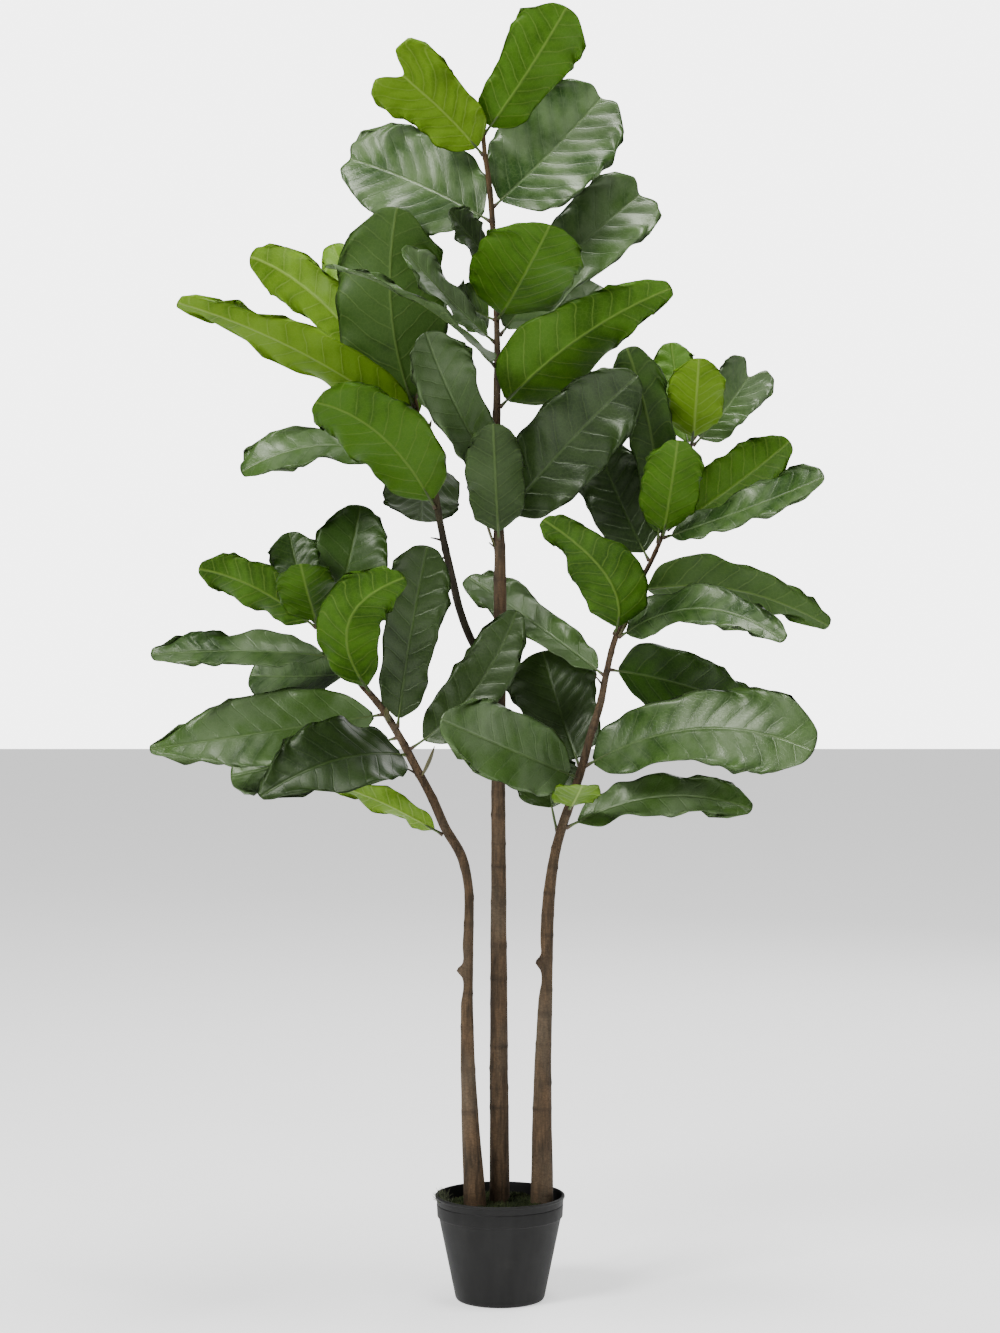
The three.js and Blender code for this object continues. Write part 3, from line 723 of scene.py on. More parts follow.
# ---------------------------------------------------------------- leaves
@dataclass
class Leaf:
    """One leaf, refined from the rings of its frame solid."""

    node: str
    tone: Tone
    seed: int
    lengthwise: int = 72
    crosswise: int = 17
    half_thickness: float = 0.00030
    ruffle: float = 0.0058
    quilting: float = 0.00042
    rib_depth: float = 0.0016
    rib_width: float = 0.0022
    vein_spacing: float = 0.0255
    corner: float = 0.30
    rings: Array = field(init=False)

    SIDES = 8
    PETIOLE_RINGS = 2
    STALK_WIDTH = 0.0047
    GROWN_LENGTH = 0.24

    def __post_init__(self) -> None:
        """Reads the rings from the frame."""
        self.rings = self._read_rings()
        length = np.linalg.norm(self.rings[-1].mean(0) - self.rings[0].mean(0))
        growth = float(length / self.GROWN_LENGTH)
        self.vein_spacing *= min(max(growth, 0.55), 1.15)
        self.ruffle *= min(max(growth, 0.25), 1.1)
        self.dice = np.random.default_rng(self.seed)

    def _read_rings(self) -> Array:
        """Puts the solid's corners back into rings, petiole first.

        Returns:
            Ring by ring, eight corners each, from the left margin over the
            upper side to the right margin and back under.
        """
        cage = Cage.of_node(self.node)
        stem = min(STEM_LINES, key=lambda line: line.distance(cage.points))
        gaps = stem.gaps(cage.points)
        apart = np.linalg.norm(cage.points[:, None] - cage.points[None], axis=2)
        tight = (apart < self.STALK_WIDTH).sum(1) >= self.SIDES
        nearest = int(np.argmin(np.where(tight, gaps, np.inf)))
        start = np.argsort(apart[nearest])[: self.SIDES]
        levels = cage.levels([int(i) for i in start])
        if any(len(level) != self.SIDES for level in levels):
            raise ValueError(f"{self.node}: rings of {[len(level) for level in levels]}")
        rings = []
        for level, above in zip(levels, levels[1:] + [None]):
            if above is None:
                rings.append(self._follow(cage, rings[-1], level))
                continue
            members = set(above)
            ahead = {c: len(cage.links[c] & members) for c in level}
            left = max(level, key=lambda c: ahead[c])
            right = min(level, key=lambda c: ahead[c])
            rings.append(self._walk(cage, level, left, right))
        ordered = cage.points[np.array(rings)]
        return self._upper_side_first(ordered)

    @staticmethod
    def _walk(cage: Cage, level: list[int], left: int, right: int) -> list[int]:
        """Goes round a ring from its left corner."""
        centre = cage.points[level].mean(0)
        axis = cage.points[right] - cage.points[left]
        rest = [c for c in level if c not in (left, right)]
        spread = np.array([cage.points[c] - centre for c in rest])
        along = spread @ unit(axis)
        flat = spread - along[:, None] * unit(axis)
        _, _, basis = np.linalg.svd(flat - flat.mean(0))
        height = flat @ basis[0]
        pairs = [rest[i] for i in np.argsort(along)]
        sign = dict(zip(rest, height))
        sides: tuple[list[int], list[int]] = ([], [])
        for i in range(0, 6, 2):
            low, high = sorted(pairs[i : i + 2], key=lambda c: sign[c])
            sides[0].append(high)
            sides[1].append(low)
        return [left, *sides[0], right, *sides[1][::-1]]

    @staticmethod
    def _follow(cage: Cage, before: list[int], level: list[int]) -> list[int]:
        """Orders the last ring by its links to the ring before."""
        members = set(level)
        ahead = [cage.links[c] & members for c in before]
        right = next(iter(ahead[4]))
        ordered = [0] * 8
        ordered[4] = right
        for i in (3, 2, 1):
            ordered[i] = next(iter(ahead[i] - {ordered[i + 1]}))
        for i in (5, 6, 7):
            ordered[i] = next(iter(ahead[i] - {ordered[i - 1]}))
        ordered[0] = next(iter(ahead[0] - {ordered[1], ordered[7]}))
        return ordered

    def _upper_side_first(self, rings: Array) -> Array:
        """Turns each ring so that its second to fourth corners are the upper side."""
        swap = [0, 7, 6, 5, 4, 3, 2, 1]
        first = rings[0]
        if np.linalg.norm(first[2] - first.mean(0)) > np.linalg.norm(first[6] - first.mean(0)):
            rings[0] = first[swap]
        for k in range(1, len(rings)):
            up_before = rings[k - 1][1:4].mean(0) - rings[k - 1][5:8].mean(0)
            up_here = rings[k][1:4].mean(0) - rings[k][5:8].mean(0)
            if np.dot(up_before, up_here) < 0:
                rings[k] = rings[k][swap]
        return rings

    def _surface(self) -> tuple[Array, Array, Array]:
        """The blade's middle surface.

        Returns:
            Positions on a grid, places along it, places across it.
        """
        blade = self.rings[self.PETIOLE_RINGS :]
        up = unit(blade[:, 1] - blade[:, 7] + blade[:, 3] - blade[:, 5])
        columns = np.stack(
            [
                blade[:, 0],
                (blade[:, 1] + blade[:, 7]) / 2,
                blade[:, 2] - up * 0.0005,
                (blade[:, 3] + blade[:, 5]) / 2,
                blade[:, 4],
            ],
            axis=1,
        )
        steps = np.linalg.norm(np.diff(columns[:, 2], axis=0), axis=1)
        knots = np.concatenate([[0], np.cumsum(steps)]) / steps.sum()
        along = np.linspace(0, 1, self.lengthwise)
        even = np.linspace(-1, 1, 2 * self.crosswise + 1)
        across = np.sign(even) * np.abs(even) ** 1.35
        knots_across = np.array([-1, -0.52, 0, 0.52, 1])
        grid = np.empty((self.lengthwise, len(across), 3))
        fine = spline(knots, columns, np.linspace(0, 1, 400))
        table = np.linspace(0, 1, 400)
        margin = 1 - 0.035 * (0.5 + 0.5 * np.sin(self._waves(along, 5.0)))
        for j, u in enumerate(across):
            reach = np.clip(abs(u) - (1 - self.corner), 0, None) / self.corner
            shorten = 0.13 * (1 - np.sqrt(np.clip(1 - reach**2, 0, 1)))
            here = along * (1 - shorten)
            rows = np.empty((self.lengthwise, 5, 3))
            for column in range(5):
                for axis in range(3):
                    rows[:, column, axis] = np.interp(here, table, fine[:, column, axis])
            for i in range(self.lengthwise):
                place = u * (margin[i] if u < 0 else margin[-1 - i])
                grid[i, j] = spline(
                    knots_across, rows[i], np.array([place])
                )[0]
        return grid, along, across

    def _waves(self, along: Array, count: float) -> Array:
        """Phase of an uneven wave along the blade."""
        start, drift = self.dice.uniform(0, 6.28), self.dice.uniform(-1.2, 1.2)
        return 2 * math.pi * count * (along + 0.06 * np.sin(7 * along + drift)) + start

    def _relief(self, grid: Array, along: Array, across: Array) -> tuple[Array, Array, Array]:
        """Bends the grid into ruffles and quilting.

        Args:
            grid: positions of the middle surface.
            along: places along it.
            across: places across it.

        Returns:
            The new grid, signed distance from the midrib and distance run.
        """
        middle = grid[:, grid.shape[1] // 2]
        run = np.concatenate([[0], np.cumsum(np.linalg.norm(np.diff(middle, axis=0), axis=1))])
        side = np.linalg.norm(grid - middle[:, None], axis=2) * np.sign(across)[None, :]
        normal = self._normals(grid)
        rise = smooth_step(along, 0.03, 0.22)[:, None]
        sheet = np.zeros(side.shape)
        for sign in (-1, 1):
            part = (np.sign(across) == sign)[None, :]
            long_wave = np.sin(self._waves(along, 2.3))[:, None]
            short_wave = np.sin(self._waves(along, 5.2))[:, None]
            edge = np.abs(across)[None, :] ** 2.4
            sheet += part * edge * (long_wave * 0.7 + short_wave * 0.42) * self.ruffle
        spacing = self.vein_spacing
        width = np.abs(side)
        bow = width * 0.62 + width**2 * 3.6
        shift = (side > 0) * spacing * 0.5
        phase = (run[:, None] - bow + shift) / spacing
        ridge = np.abs((phase % 1) - 0.5) * 2
        pillow = 1 - (1 - ridge) ** 2
        reach = smooth_step(width, 0.001, 0.012) * (1 - np.abs(across)[None, :] ** 6)
        sheet += (pillow - 0.5) * reach * self.quilting * 2
        twist = self.dice.uniform(-1, 1) * 0.05
        sheet += twist * side * smooth_step(along, 0.3, 1.0)[:, None]
        return grid + normal * (sheet * rise)[..., None], side, run

    @staticmethod
    def _normals(grid: Array) -> Array:
        """Upward normals of a grid."""
        lengthwise = np.gradient(grid, axis=0)
        crosswise = np.gradient(grid, axis=1)
        return unit(np.cross(lengthwise, crosswise))

    def build(self) -> bpy.types.Object:
        """Builds the blade with its petiole as one piece.

        Returns:
            The piece.
        """
        grid, along, across = self._surface()
        blade = self.rings[self.PETIOLE_RINGS :]
        up = unit(blade[4, 1] - blade[4, 7] + blade[4, 3] - blade[4, 5])
        centre = self._normals(grid)[self.lengthwise // 2, len(across) // 2]
        if np.dot(centre, up) < 0:
            raise ValueError(f"{self.node}: the upper side faces down")
        grid, side, run = self._relief(grid, along, across)
        normal = self._normals(grid)
        rows, columns = side.shape
        thin = (1 - np.abs(across) ** 8)[None, :] * np.ones((rows, 1))
        thin[0] = thin[-1] = 0
        groove = np.exp(-((side / 0.0016) ** 2))
        rib = np.exp(-((side / self.rib_width) ** 2)) * (1 - 0.75 * along[:, None])
        top = grid + normal * (thin * (self.half_thickness - 0.0006 * groove))[..., None]
        under = grid - normal * (thin * (self.half_thickness + self.rib_depth * rib))[..., None]
        top_number = np.arange(rows * columns).reshape(rows, columns)
        under_number = top_number.copy()
        inner = (slice(1, rows - 1), slice(1, columns - 1))
        count = (rows - 2) * (columns - 2)
        under_number[inner] = rows * columns + np.arange(count).reshape(rows - 2, columns - 2)
        points = np.vstack([top.reshape(-1, 3), under[inner].reshape(-1, 3)])
        faces, slots = [], []
        for i in range(rows - 1):
            for j in range(columns - 1):
                a, b = top_number[i, j], top_number[i, j + 1]
                c, d = top_number[i + 1, j + 1], top_number[i + 1, j]
                faces.append([d, c, b, a])
                slots.append(0)
                a, b = under_number[i, j], under_number[i, j + 1]
                c, d = under_number[i + 1, j + 1], under_number[i + 1, j]
                faces.append([a, b, c, d])
                slots.append(1)
        far = np.tile(along[:, None], (1, columns))
        ran = np.tile(run[:, None], (1, columns))
        numbers = {
            "leaf_side": np.concatenate([side.ravel(), side[inner].ravel()]),
            "leaf_run": np.concatenate([ran.ravel(), ran[inner].ravel()]),
            "leaf_along": np.concatenate([far.ravel(), far[inner].ravel()]),
        }
        stalk, stalk_faces, browning = self._petiole(grid, normal)
        first = len(points)
        points = np.vstack([points, stalk])
        faces += [[first + corner for corner in face] for face in stalk_faces]
        slots += [2] * len(stalk_faces)
        for key in numbers:
            numbers[key] = np.concatenate([numbers[key], np.zeros(len(stalk))])
        numbers["browning"] = np.concatenate([np.zeros(first), browning])
        numbers["leaf_tint"] = np.full(len(points), self.dice.uniform(0, 1))
        numbers["leaf_spacing"] = np.full(len(points), self.vein_spacing)
        materials = [FINISHED.top[self.tone], FINISHED.under[self.tone], FINISHED.stalk]
        return mesh_object(f"{self.node}_blade", points, faces, materials, slots, numbers)

    def _petiole(self, grid: Array, normal: Array) -> tuple[Array, list[list[int]], Array]:
        """The stalk from the bark to the foot of the blade.

        Args:
            grid: the blade's middle surface.
            normal: its normals.

        Returns:
            Corner positions, faces and how brown each corner is.
        """
        root = self.rings[0].mean(0)
        bend = self.rings[1].mean(0)
        middle = grid.shape[1] // 2
        foot = grid[0, middle] - normal[0, middle] * 0.0006
        inside = [grid[k, middle] - normal[k, middle] * 0.0012 for k in (3, 7)]
        into = root + unit(root - bend) * 0.0035
        line = np.array([into, root, bend, foot, *inside])
        steps = np.linalg.norm(np.diff(line, axis=0), axis=1)
        knots = np.concatenate([[0], np.cumsum(steps)])
        at = np.linspace(0, knots[-1], 22)
        centre = spline(knots, line, at)
        swell = np.interp(at / knots[-1], [0, 0.12, 0.3, 0.62, 0.85, 1], [3.1, 2.7, 1.9, 1.8, 1.3, 0.6])
        corners, faces = tube(centre, swell * 0.001, 10)
        browning = np.repeat(1 - smooth_step(at / knots[-1], 0.02, 0.3), 10)
        return corners, faces, browning


# ---------------------------------------------------------------- stems
@dataclass
class StemLine:
    """The centre line and the rings of a frame stem."""

    node: str
    sides: int = 10
    rings: Array = field(init=False)

    def __post_init__(self) -> None:
        """Reads the rings from the frame, foot first."""
        cage = Cage.of_node(self.node)
        order = np.argsort(cage.points[:, 2])
        levels = cage.levels([int(i) for i in order[: self.sides]])
        rings = []
        for level in levels:
            if len(level) != self.sides:
                raise ValueError(f"{self.node}: a ring of {len(level)}")
            centre = cage.points[level].mean(0)
            turn = [
                math.atan2(cage.points[c][1] - centre[1], cage.points[c][0] - centre[0])
                for c in level
            ]
            ordered = [level[i] for i in np.argsort(np.mod(np.array(turn) + 0.3, 2 * math.pi))]
            rings.append(cage.points[ordered])
        self.rings = np.array(rings)

    @property
    def centres(self) -> Array:
        """Ring centres, foot first."""
        return self.rings.mean(1)

    @property
    def widths(self) -> Array:
        """Ring radii, foot first."""
        return np.linalg.norm(self.rings[:, 0] - self.centres, axis=1)

    def gaps(self, points: Array) -> Array:
        """How far points are from the centre line, less the stem's radius."""
        line = self.centres
        fine = np.vstack(
            [line[k] + (line[k + 1] - line[k]) * t for k in range(len(line) - 1)
             for t in np.linspace(0, 1, 12, endpoint=False)]
        )
        return np.linalg.norm(points[:, None] - fine[None], axis=2).min(1)

    def distance(self, points: Array) -> float:
        """How near the closest point comes."""
        radius = np.linalg.norm(self.rings[:, 0] - self.centres, axis=1).min()
        return float(self.gaps(points).min() - radius)


STEM_NODES = ("trunk_centre", "trunk_left", "trunk_right", "side_branch")
STEM_LINES = [StemLine(node) for node in STEM_NODES]


@dataclass
class Stem:
    """A trunk or branch, refined from its line of rings."""

    line: StemLine
    finish: BarkFinish
    seed: int
    scars: Sequence[float] = ()
    ring_step: float = 0.0045
    sides: int = 28
    ripple: float = 0.00035
    scar_height: float = 0.0009
    shoot_length: float = 0.20

    def build(self) -> bpy.types.Object:
        """Builds the stem with its old leaf scars.

        Returns:
            The piece.
        """
        rings = self.line.rings
        centres = self.line.centres
        steps = np.linalg.norm(np.diff(centres, axis=0), axis=1)
        knots = np.concatenate([[0], np.cumsum(steps)])
        at = np.linspace(0, knots[-1], int(knots[-1] / self.ring_step))
        centre = spline(knots, centres, at)
        spokes = spline(knots, rings - centres[:, None], at)
        wrapped = np.concatenate([spokes, spokes[:, :1]], axis=1)
        turn = np.linspace(0, 1, self.line.sides + 1)
        fine = np.linspace(0, 1, self.sides, endpoint=False)
        dense = np.empty((len(at), self.sides, 3))
        for i in range(len(at)):
            dense[i] = self._round(turn, wrapped[i], fine)
        radius = np.linalg.norm(dense, axis=2, keepdims=True)
        dense = unit(dense)
        phase = 2 * math.pi * fine[None, :]
        dice = np.random.default_rng(self.seed)
        lumps = np.zeros((len(at), self.sides))
        for waves, tall, size in ((2, 9.0, 1.0), (3, 17.0, 0.8), (5, 31.0, 0.6), (7, 63.0, 0.5)):
            lumps += size * np.sin(waves * phase + tall * at[:, None] + dice.uniform(0, 6.28))
        scar = np.zeros((len(at), self.sides))
        for height, facing in self._scar_places(at, dice):
            band = np.exp(-(((at[:, None] - height) / 0.0032) ** 2))
            part = 0.35 + 0.65 * np.clip(np.cos(phase - facing), 0, 1) ** 2
            scar = np.maximum(scar, band * part)
        reach = radius[..., 0] + lumps * self.ripple + scar * self.scar_height
        top = smooth_step(at, knots[-1] - 0.006, knots[-1])[:, None]
        reach = reach * (1 - 0.45 * top)
        points = (centre[:, None] + dense * reach[..., None]).reshape(-1, 3)
        faces = ring_faces(len(at), self.sides)
        faces.append(list(range(self.sides))[::-1])
        faces.append([(len(at) - 1) * self.sides + i for i in range(self.sides)])
        young = smooth_step(at, knots[-1] - self.shoot_length, knots[-1])
        numbers = {"scar": scar.ravel(), "youth": np.repeat(young, self.sides)}
        name = f"{self.line.node}_bark"
        return mesh_object(name, points, faces, [FINISHED.bark[self.finish.name]], None, numbers)

    @staticmethod
    def _round(turn: Array, spokes: Array, fine: Array) -> Array:
        """Rounds a ring's ten spokes into many."""
        angle = 2 * math.pi * fine
        east = spokes[0] - spokes[5]
        plane = unit(east)
        lift = spokes[2] + spokes[3] - spokes[7] - spokes[8]
        other = unit(lift - plane * np.dot(lift, plane))
        length = np.linalg.norm(spokes, axis=1)
        reach = np.interp(fine, turn, length)
        return reach[:, None] * (np.cos(angle)[:, None] * plane + np.sin(angle)[:, None] * other)

    def _scar_places(self, at: Array, dice: np.random.Generator) -> list[tuple[float, float]]:
        """Where old leaves have left their rings: height and direction."""
        places = []
        height = 0.18
        facing = dice.uniform(0, 6.28)
        while height < at[-1] - 0.02:
            places.append((height, facing))
            height += dice.uniform(0.026, 0.060)
            facing += 2.4
        return places


# ---------------------------------------------------------------- scattering
@dataclass(frozen=True)
class Scatter:
    """Small shapes strewn over a surface by a node tree."""

    name: str
    sides: int
    height: float
    foot: float
    tip: float
    density: float
    smallest: float
    largest: float
    lean: float
    seed: int

    def tree(self, material: bpy.types.Material) -> bpy.types.GeometryNodeTree:
        """Builds the node tree with its sizes as named inputs.

        Args:
            material: what the shapes are made of.

        Returns:
            The tree.
        """
        tree = bpy.data.node_groups.new(self.name, "GeometryNodeTree")
        face = tree.interface
        face.new_socket("Geometry", in_out="INPUT", socket_type="NodeSocketGeometry")
        for label in ("Density", "Smallest", "Largest", "Lean", "Height"):
            face.new_socket(label, in_out="INPUT", socket_type="NodeSocketFloat")
        face.new_socket("Seed", in_out="INPUT", socket_type="NodeSocketInt")
        face.new_socket("Geometry", in_out="OUTPUT", socket_type="NodeSocketGeometry")
        add, link = tree.nodes.new, tree.links.new
        given, made = add("NodeGroupInput"), add("NodeGroupOutput")
        spread = add("GeometryNodeDistributePointsOnFaces")
        link(given.outputs["Geometry"], spread.inputs["Mesh"])
        link(given.outputs["Density"], spread.inputs["Density"])
        link(given.outputs["Seed"], spread.inputs["Seed"])
        shape = add("GeometryNodeMeshCone")
        shape.inputs["Vertices"].default_value = self.sides
        shape.inputs["Side Segments"].default_value = 2
        shape.inputs["Radius Top"].default_value = self.tip
        shape.inputs["Radius Bottom"].default_value = self.foot
        link(given.outputs["Height"], shape.inputs["Depth"])
        size = add("FunctionNodeRandomValue")
        link(given.outputs["Smallest"], size.inputs[2])
        link(given.outputs["Largest"], size.inputs[3])
        link(given.outputs["Seed"], size.inputs["Seed"])
        tilt = add("FunctionNodeRandomValue")
        tilt.data_type = "FLOAT_VECTOR"
        fan = add("ShaderNodeCombineXYZ")
        back = add("ShaderNodeVectorMath")
        back.operation = "SCALE"
        back.inputs["Scale"].default_value = -1.0
        link(given.outputs["Lean"], fan.inputs["X"])
        link(given.outputs["Lean"], fan.inputs["Y"])
        fan.inputs["Z"].default_value = math.pi
        link(fan.outputs[0], back.inputs[0])
        link(back.outputs[0], tilt.inputs[0])
        link(fan.outputs[0], tilt.inputs[1])
        place = add("GeometryNodeInstanceOnPoints")
        turn = add("FunctionNodeRotateRotation")
        turn.rotation_space = "LOCAL"
        link(spread.outputs["Rotation"], turn.inputs[0])
        link(tilt.outputs[0], turn.inputs[1])
        link(spread.outputs["Points"], place.inputs["Points"])
        link(shape.outputs["Mesh"], place.inputs["Instance"])
        link(turn.outputs[0], place.inputs["Rotation"])
        link(size.outputs[1], place.inputs["Scale"])
        real = add("GeometryNodeRealizeInstances")
        dress = add("GeometryNodeSetMaterial")
        dress.inputs["Material"].default_value = material
        link(place.outputs[0], real.inputs[0])
        link(real.outputs[0], dress.inputs["Geometry"])
        link(dress.outputs[0], made.inputs[0])
        return tree

    def over(
        self, name: str, ground: bpy.types.Object, material: bpy.types.Material
    ) -> bpy.types.Object:
        """Strews the shapes over a surface and keeps them as a plain mesh.

        Args:
            name: the new piece's name.
            ground: the surface, which is used up.
            material: what the shapes are made of.

        Returns:
            The piece.
        """
        tree = self.tree(material)
        modifier = ground.modifiers.new(self.name, "NODES")
        modifier.node_group = tree
        values = {
            "Density": self.density,
            "Smallest": self.smallest,
            "Largest": self.largest,
            "Lean": self.lean,
            "Height": self.height,
            "Seed": self.seed,
        }
        for item in tree.interface.items_tree:
            if item.in_out == "INPUT" and item.name in values:
                modifier[item.identifier] = values[item.name]
        bpy.context.view_layer.update()
        graph = bpy.context.evaluated_depsgraph_get()
        mesh = bpy.data.meshes.new_from_object(ground.evaluated_get(graph))
        mesh.name = name
        piece = bpy.data.objects.new(name, mesh)
        bpy.context.scene.collection.objects.link(piece)
        used = ground.data
        bpy.data.objects.remove(ground)
        bpy.data.meshes.remove(used)
        return piece


# ---------------------------------------------------------------- pot and soil
@dataclass
class Pot:
    """The nursery pot, turned finely from the frame's profile."""

    node: str = "pot"
    sides: int = 160
    softening: float = 0.0006
    profile: Array = field(init=False)

    def __post_init__(self) -> None:
        """Reads the profile from the frame."""
        cage = Cage.of_node(self.node)
        radius = np.hypot(cage.points[:, 0], cage.points[:, 1])
        angle = np.arctan2(cage.points[:, 1], cage.points[:, 0])
        front = [i for i in range(len(radius)) if abs(angle[i]) < 1e-3 or radius[i] < 1e-4]
        start = min((i for i in front if radius[i] < 1e-4), key=lambda i: cage.points[i, 2])
        path, seen = [start], {start}
        while True:
            ahead = [n for n in cage.links[path[-1]] if n in front and n not in seen]
            if not ahead:
                break
            nearest = min(ahead, key=lambda n: self._gap(cage.points, path[-1], n))
            path.append(nearest)
            seen.add(nearest)
        self.profile = np.array([[radius[i], cage.points[i, 2]] for i in path])

    @staticmethod
    def _gap(points: Array, first: int, second: int) -> float:
        """Distance between two corners."""
        return float(np.linalg.norm(points[first] - points[second]))

    def _softened(self) -> Array:
        """Cuts each corner of the profile into a small round."""
        rows = [self.profile[0]]
        for before, here, after in zip(self.profile, self.profile[1:], self.profile[2:]):
            back, ahead = before - here, after - here
            reach = min(self.softening, 0.4 * min(np.linalg.norm(back), np.linalg.norm(ahead)))
            low, high = here + unit(back) * reach, here + unit(ahead) * reach
            for t in np.linspace(0, 1, 4):
                rows.append((1 - t) ** 2 * low + 2 * t * (1 - t) * here + t * t * high)
        rows.append(self.profile[-1])
        return np.array(rows)

    def build(self) -> bpy.types.Object:
        """Builds the pot.

        Returns:
            The piece.
        """
        rows = self._split(self._softened())
        body = rows[1:-1]
        turn = np.linspace(0, 2 * math.pi, self.sides, endpoint=False)
        rings = [
            np.stack([r * np.cos(turn), r * np.sin(turn), np.full(self.sides, z)], axis=1)
            for r, z in body
        ]
        points = np.vstack(rings + [[[0, 0, rows[0][1]]], [[0, 0, rows[-1][1]]]])
        faces = ring_faces(len(body), self.sides)
        low, high = len(points) - 2, len(points) - 1
        last = (len(body) - 1) * self.sides
        for i in range(self.sides):
            j = (i + 1) % self.sides
            faces.append([low, j, i])
            faces.append([high, last + i, last + j])
        rim = self.profile[:, 1].max()
        wear = np.exp(-(((rim - points[:, 2]) / 0.0022) ** 2))
        foot = np.exp(-((points[:, 2] / 0.003) ** 2)) * 0.7
        return mesh_object(
            "pot_moulding", points, faces, [FINISHED.plastic], None,
            {"edge_wear": np.maximum(wear, foot)},
        )

    @staticmethod
    def _split(rows: Array, longest: float = 0.006) -> Array:
        """Splits the long stretches of the profile."""
        made = [rows[0]]
        for low, high in zip(rows, rows[1:]):
            count = max(1, int(np.linalg.norm(high - low) / longest))
            made += [low + (high - low) * (k + 1) / count for k in range(count)]
        return np.array(made)

    @property
    def inner_radius(self) -> float:
        """The bore just below the rim."""
        rim = self.profile[:, 1].max()
        return float(min(r for r, z in self.profile if z > rim - 1e-4))


@dataclass
class Bed:
    """Damp soil with a lumpy moss cover."""

    pot: Pot
    seed: int = 5
    rings: int = 46
    sides: int = 120
    clod: float = 0.0016
    swells: int = 26
    strewn_share: float = 0.965
    tuft_strands: int = 150

    def _mound(self, lift: float) -> tuple[Array, Array]:
        """Heights of the bed's top.

        Args:
            lift: how far above the frame's soil the surface lies.

        Returns:
            Positions on a grid of rings, and the outer radius of each ring.
        """
        low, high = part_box("soil")
        outer = (high.x - low.x) / 2
        crown = high.z - 0.0035
        edge = crown - 0.006
        share = np.linspace(0.02, 1, self.rings)
        turn = np.linspace(0, 2 * math.pi, self.sides, endpoint=False)
        dice = np.random.default_rng(self.seed)
        radius = share[:, None] * outer * np.ones((1, self.sides))
        height = edge + (crown - edge) * (1 - smooth_step(share, 0.72, 1.0))[:, None]
        height = height * np.ones((1, self.sides))
        for _ in range(self.swells):
            heading, wave = dice.uniform(0, 6.28), dice.uniform(40, 420)
            x, y = radius * np.cos(turn), radius * np.sin(turn)
            phase = wave * (x * math.cos(heading) + y * math.sin(heading)) + dice.uniform(0, 6.28)
            height += np.sin(phase) * self.clod * (60 / (60 + wave)) * 0.8
        x, y = radius * np.cos(turn), radius * np.sin(turn)
        grid = np.stack([x, y, height + lift], axis=2)
        return grid, radius[:, 0]

    def build(self) -> list[bpy.types.Object]:
        """Builds the soil body, the moss strands and the loose grit.

        Returns:
            The pieces.
        """
        grid, _ = self._mound(0.0)
        low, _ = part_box("soil")
        turn = np.linspace(0, 2 * math.pi, self.sides, endpoint=False)
        foot = 0.62 * np.hypot(grid[-1, 0, 0], grid[-1, 0, 1])
        rim = np.hypot(grid[-1, 0, 0], grid[-1, 0, 1])
        skirts = []
        for share in (0.0, 0.5, 1.0):
            radius = rim * (1 - share) + foot * share
            height = grid[-1, :, 2].min() - 0.004
            z = height * (1 - share) + low.z * share
            skirts.append(
                np.stack([radius * np.cos(turn), radius * np.sin(turn), np.full(self.sides, z)], axis=1)
            )
        points = np.vstack(
            [grid.reshape(-1, 3), *skirts, grid[0].mean(0)[None], [[0, 0, low.z]]]
        )
        rings = self.rings + len(skirts)
        faces = [face[::-1] for face in ring_faces(rings, self.sides)]
        top, bottom = len(points) - 2, len(points) - 1
        last = (rings - 1) * self.sides
        for i in range(self.sides):
            j = (i + 1) % self.sides
            faces.append([top, i, j])
            faces.append([bottom, last + j, last + i])
        soil = mesh_object("soil_bed", points, faces, [FINISHED.soil])
        return [
            soil,
            self._strewn("moss_strands", MOSS_STRANDS, 0.0006, FINISHED.moss),
            self._strewn("soil_grit", SOIL_GRIT, 0.0004, FINISHED.soil),
            self._tuft(),
        ]

    def _strewn(
        self,
        name: str,
        scatter: Scatter,
        lift: float,
        material: bpy.types.Material,
    ) -> bpy.types.Object:
        """Strews small shapes over the bed's top."""
        grid, _ = self._mound(lift)
        grid = grid[: int(self.rings * self.strewn_share)]
        faces = [face[::-1] for face in ring_faces(len(grid), self.sides)]
        ground = mesh_object(f"{name}_ground", grid.reshape(-1, 3), faces, [])
        return scatter.over(name, ground, material)

    def _tuft(self) -> bpy.types.Object:
        """A tuft of dry moss that leans on the rim at the left."""
        dice = np.random.default_rng(self.seed + 1)
        _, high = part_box("pot")
        radius = self.pot.inner_radius
        corners, faces = [], []
        for _ in range(self.tuft_strands):
            facing = math.radians(dice.normal(184, 11))
            reach = radius - abs(dice.normal(0.004, 0.005))
            foot = np.array([reach * math.cos(facing), reach * math.sin(facing), high.z - 0.009])
            aim = unit(np.array([dice.normal(-0.1, 0.7), dice.normal(0, 0.7), 1.0]))
            length = dice.uniform(0.007, 0.017)
            bend = unit(dice.normal(0, 1, 3)) * length * 0.28
            line = np.array([foot, foot + aim * length * 0.55 + bend * 0.4, foot + aim * length + bend])
            part, rows = tube(line, np.array([0.0006, 0.00045, 0.00012]), 5)
            faces += [[len(corners) + corner for corner in row] for row in rows]
            corners += list(part)
        return mesh_object("moss_tuft", np.array(corners), faces, [FINISHED.dry_moss])


MOSS_STRANDS = Scatter("moss_strand_tree", 5, 0.0058, 0.0011, 0.00015, 240000.0, 0.5, 1.25, 0.75, 11)
SOIL_GRIT = Scatter("soil_grit_tree", 6, 0.0022, 0.0013, 0.0007, 30000.0, 0.4, 1.3, 1.3, 12)


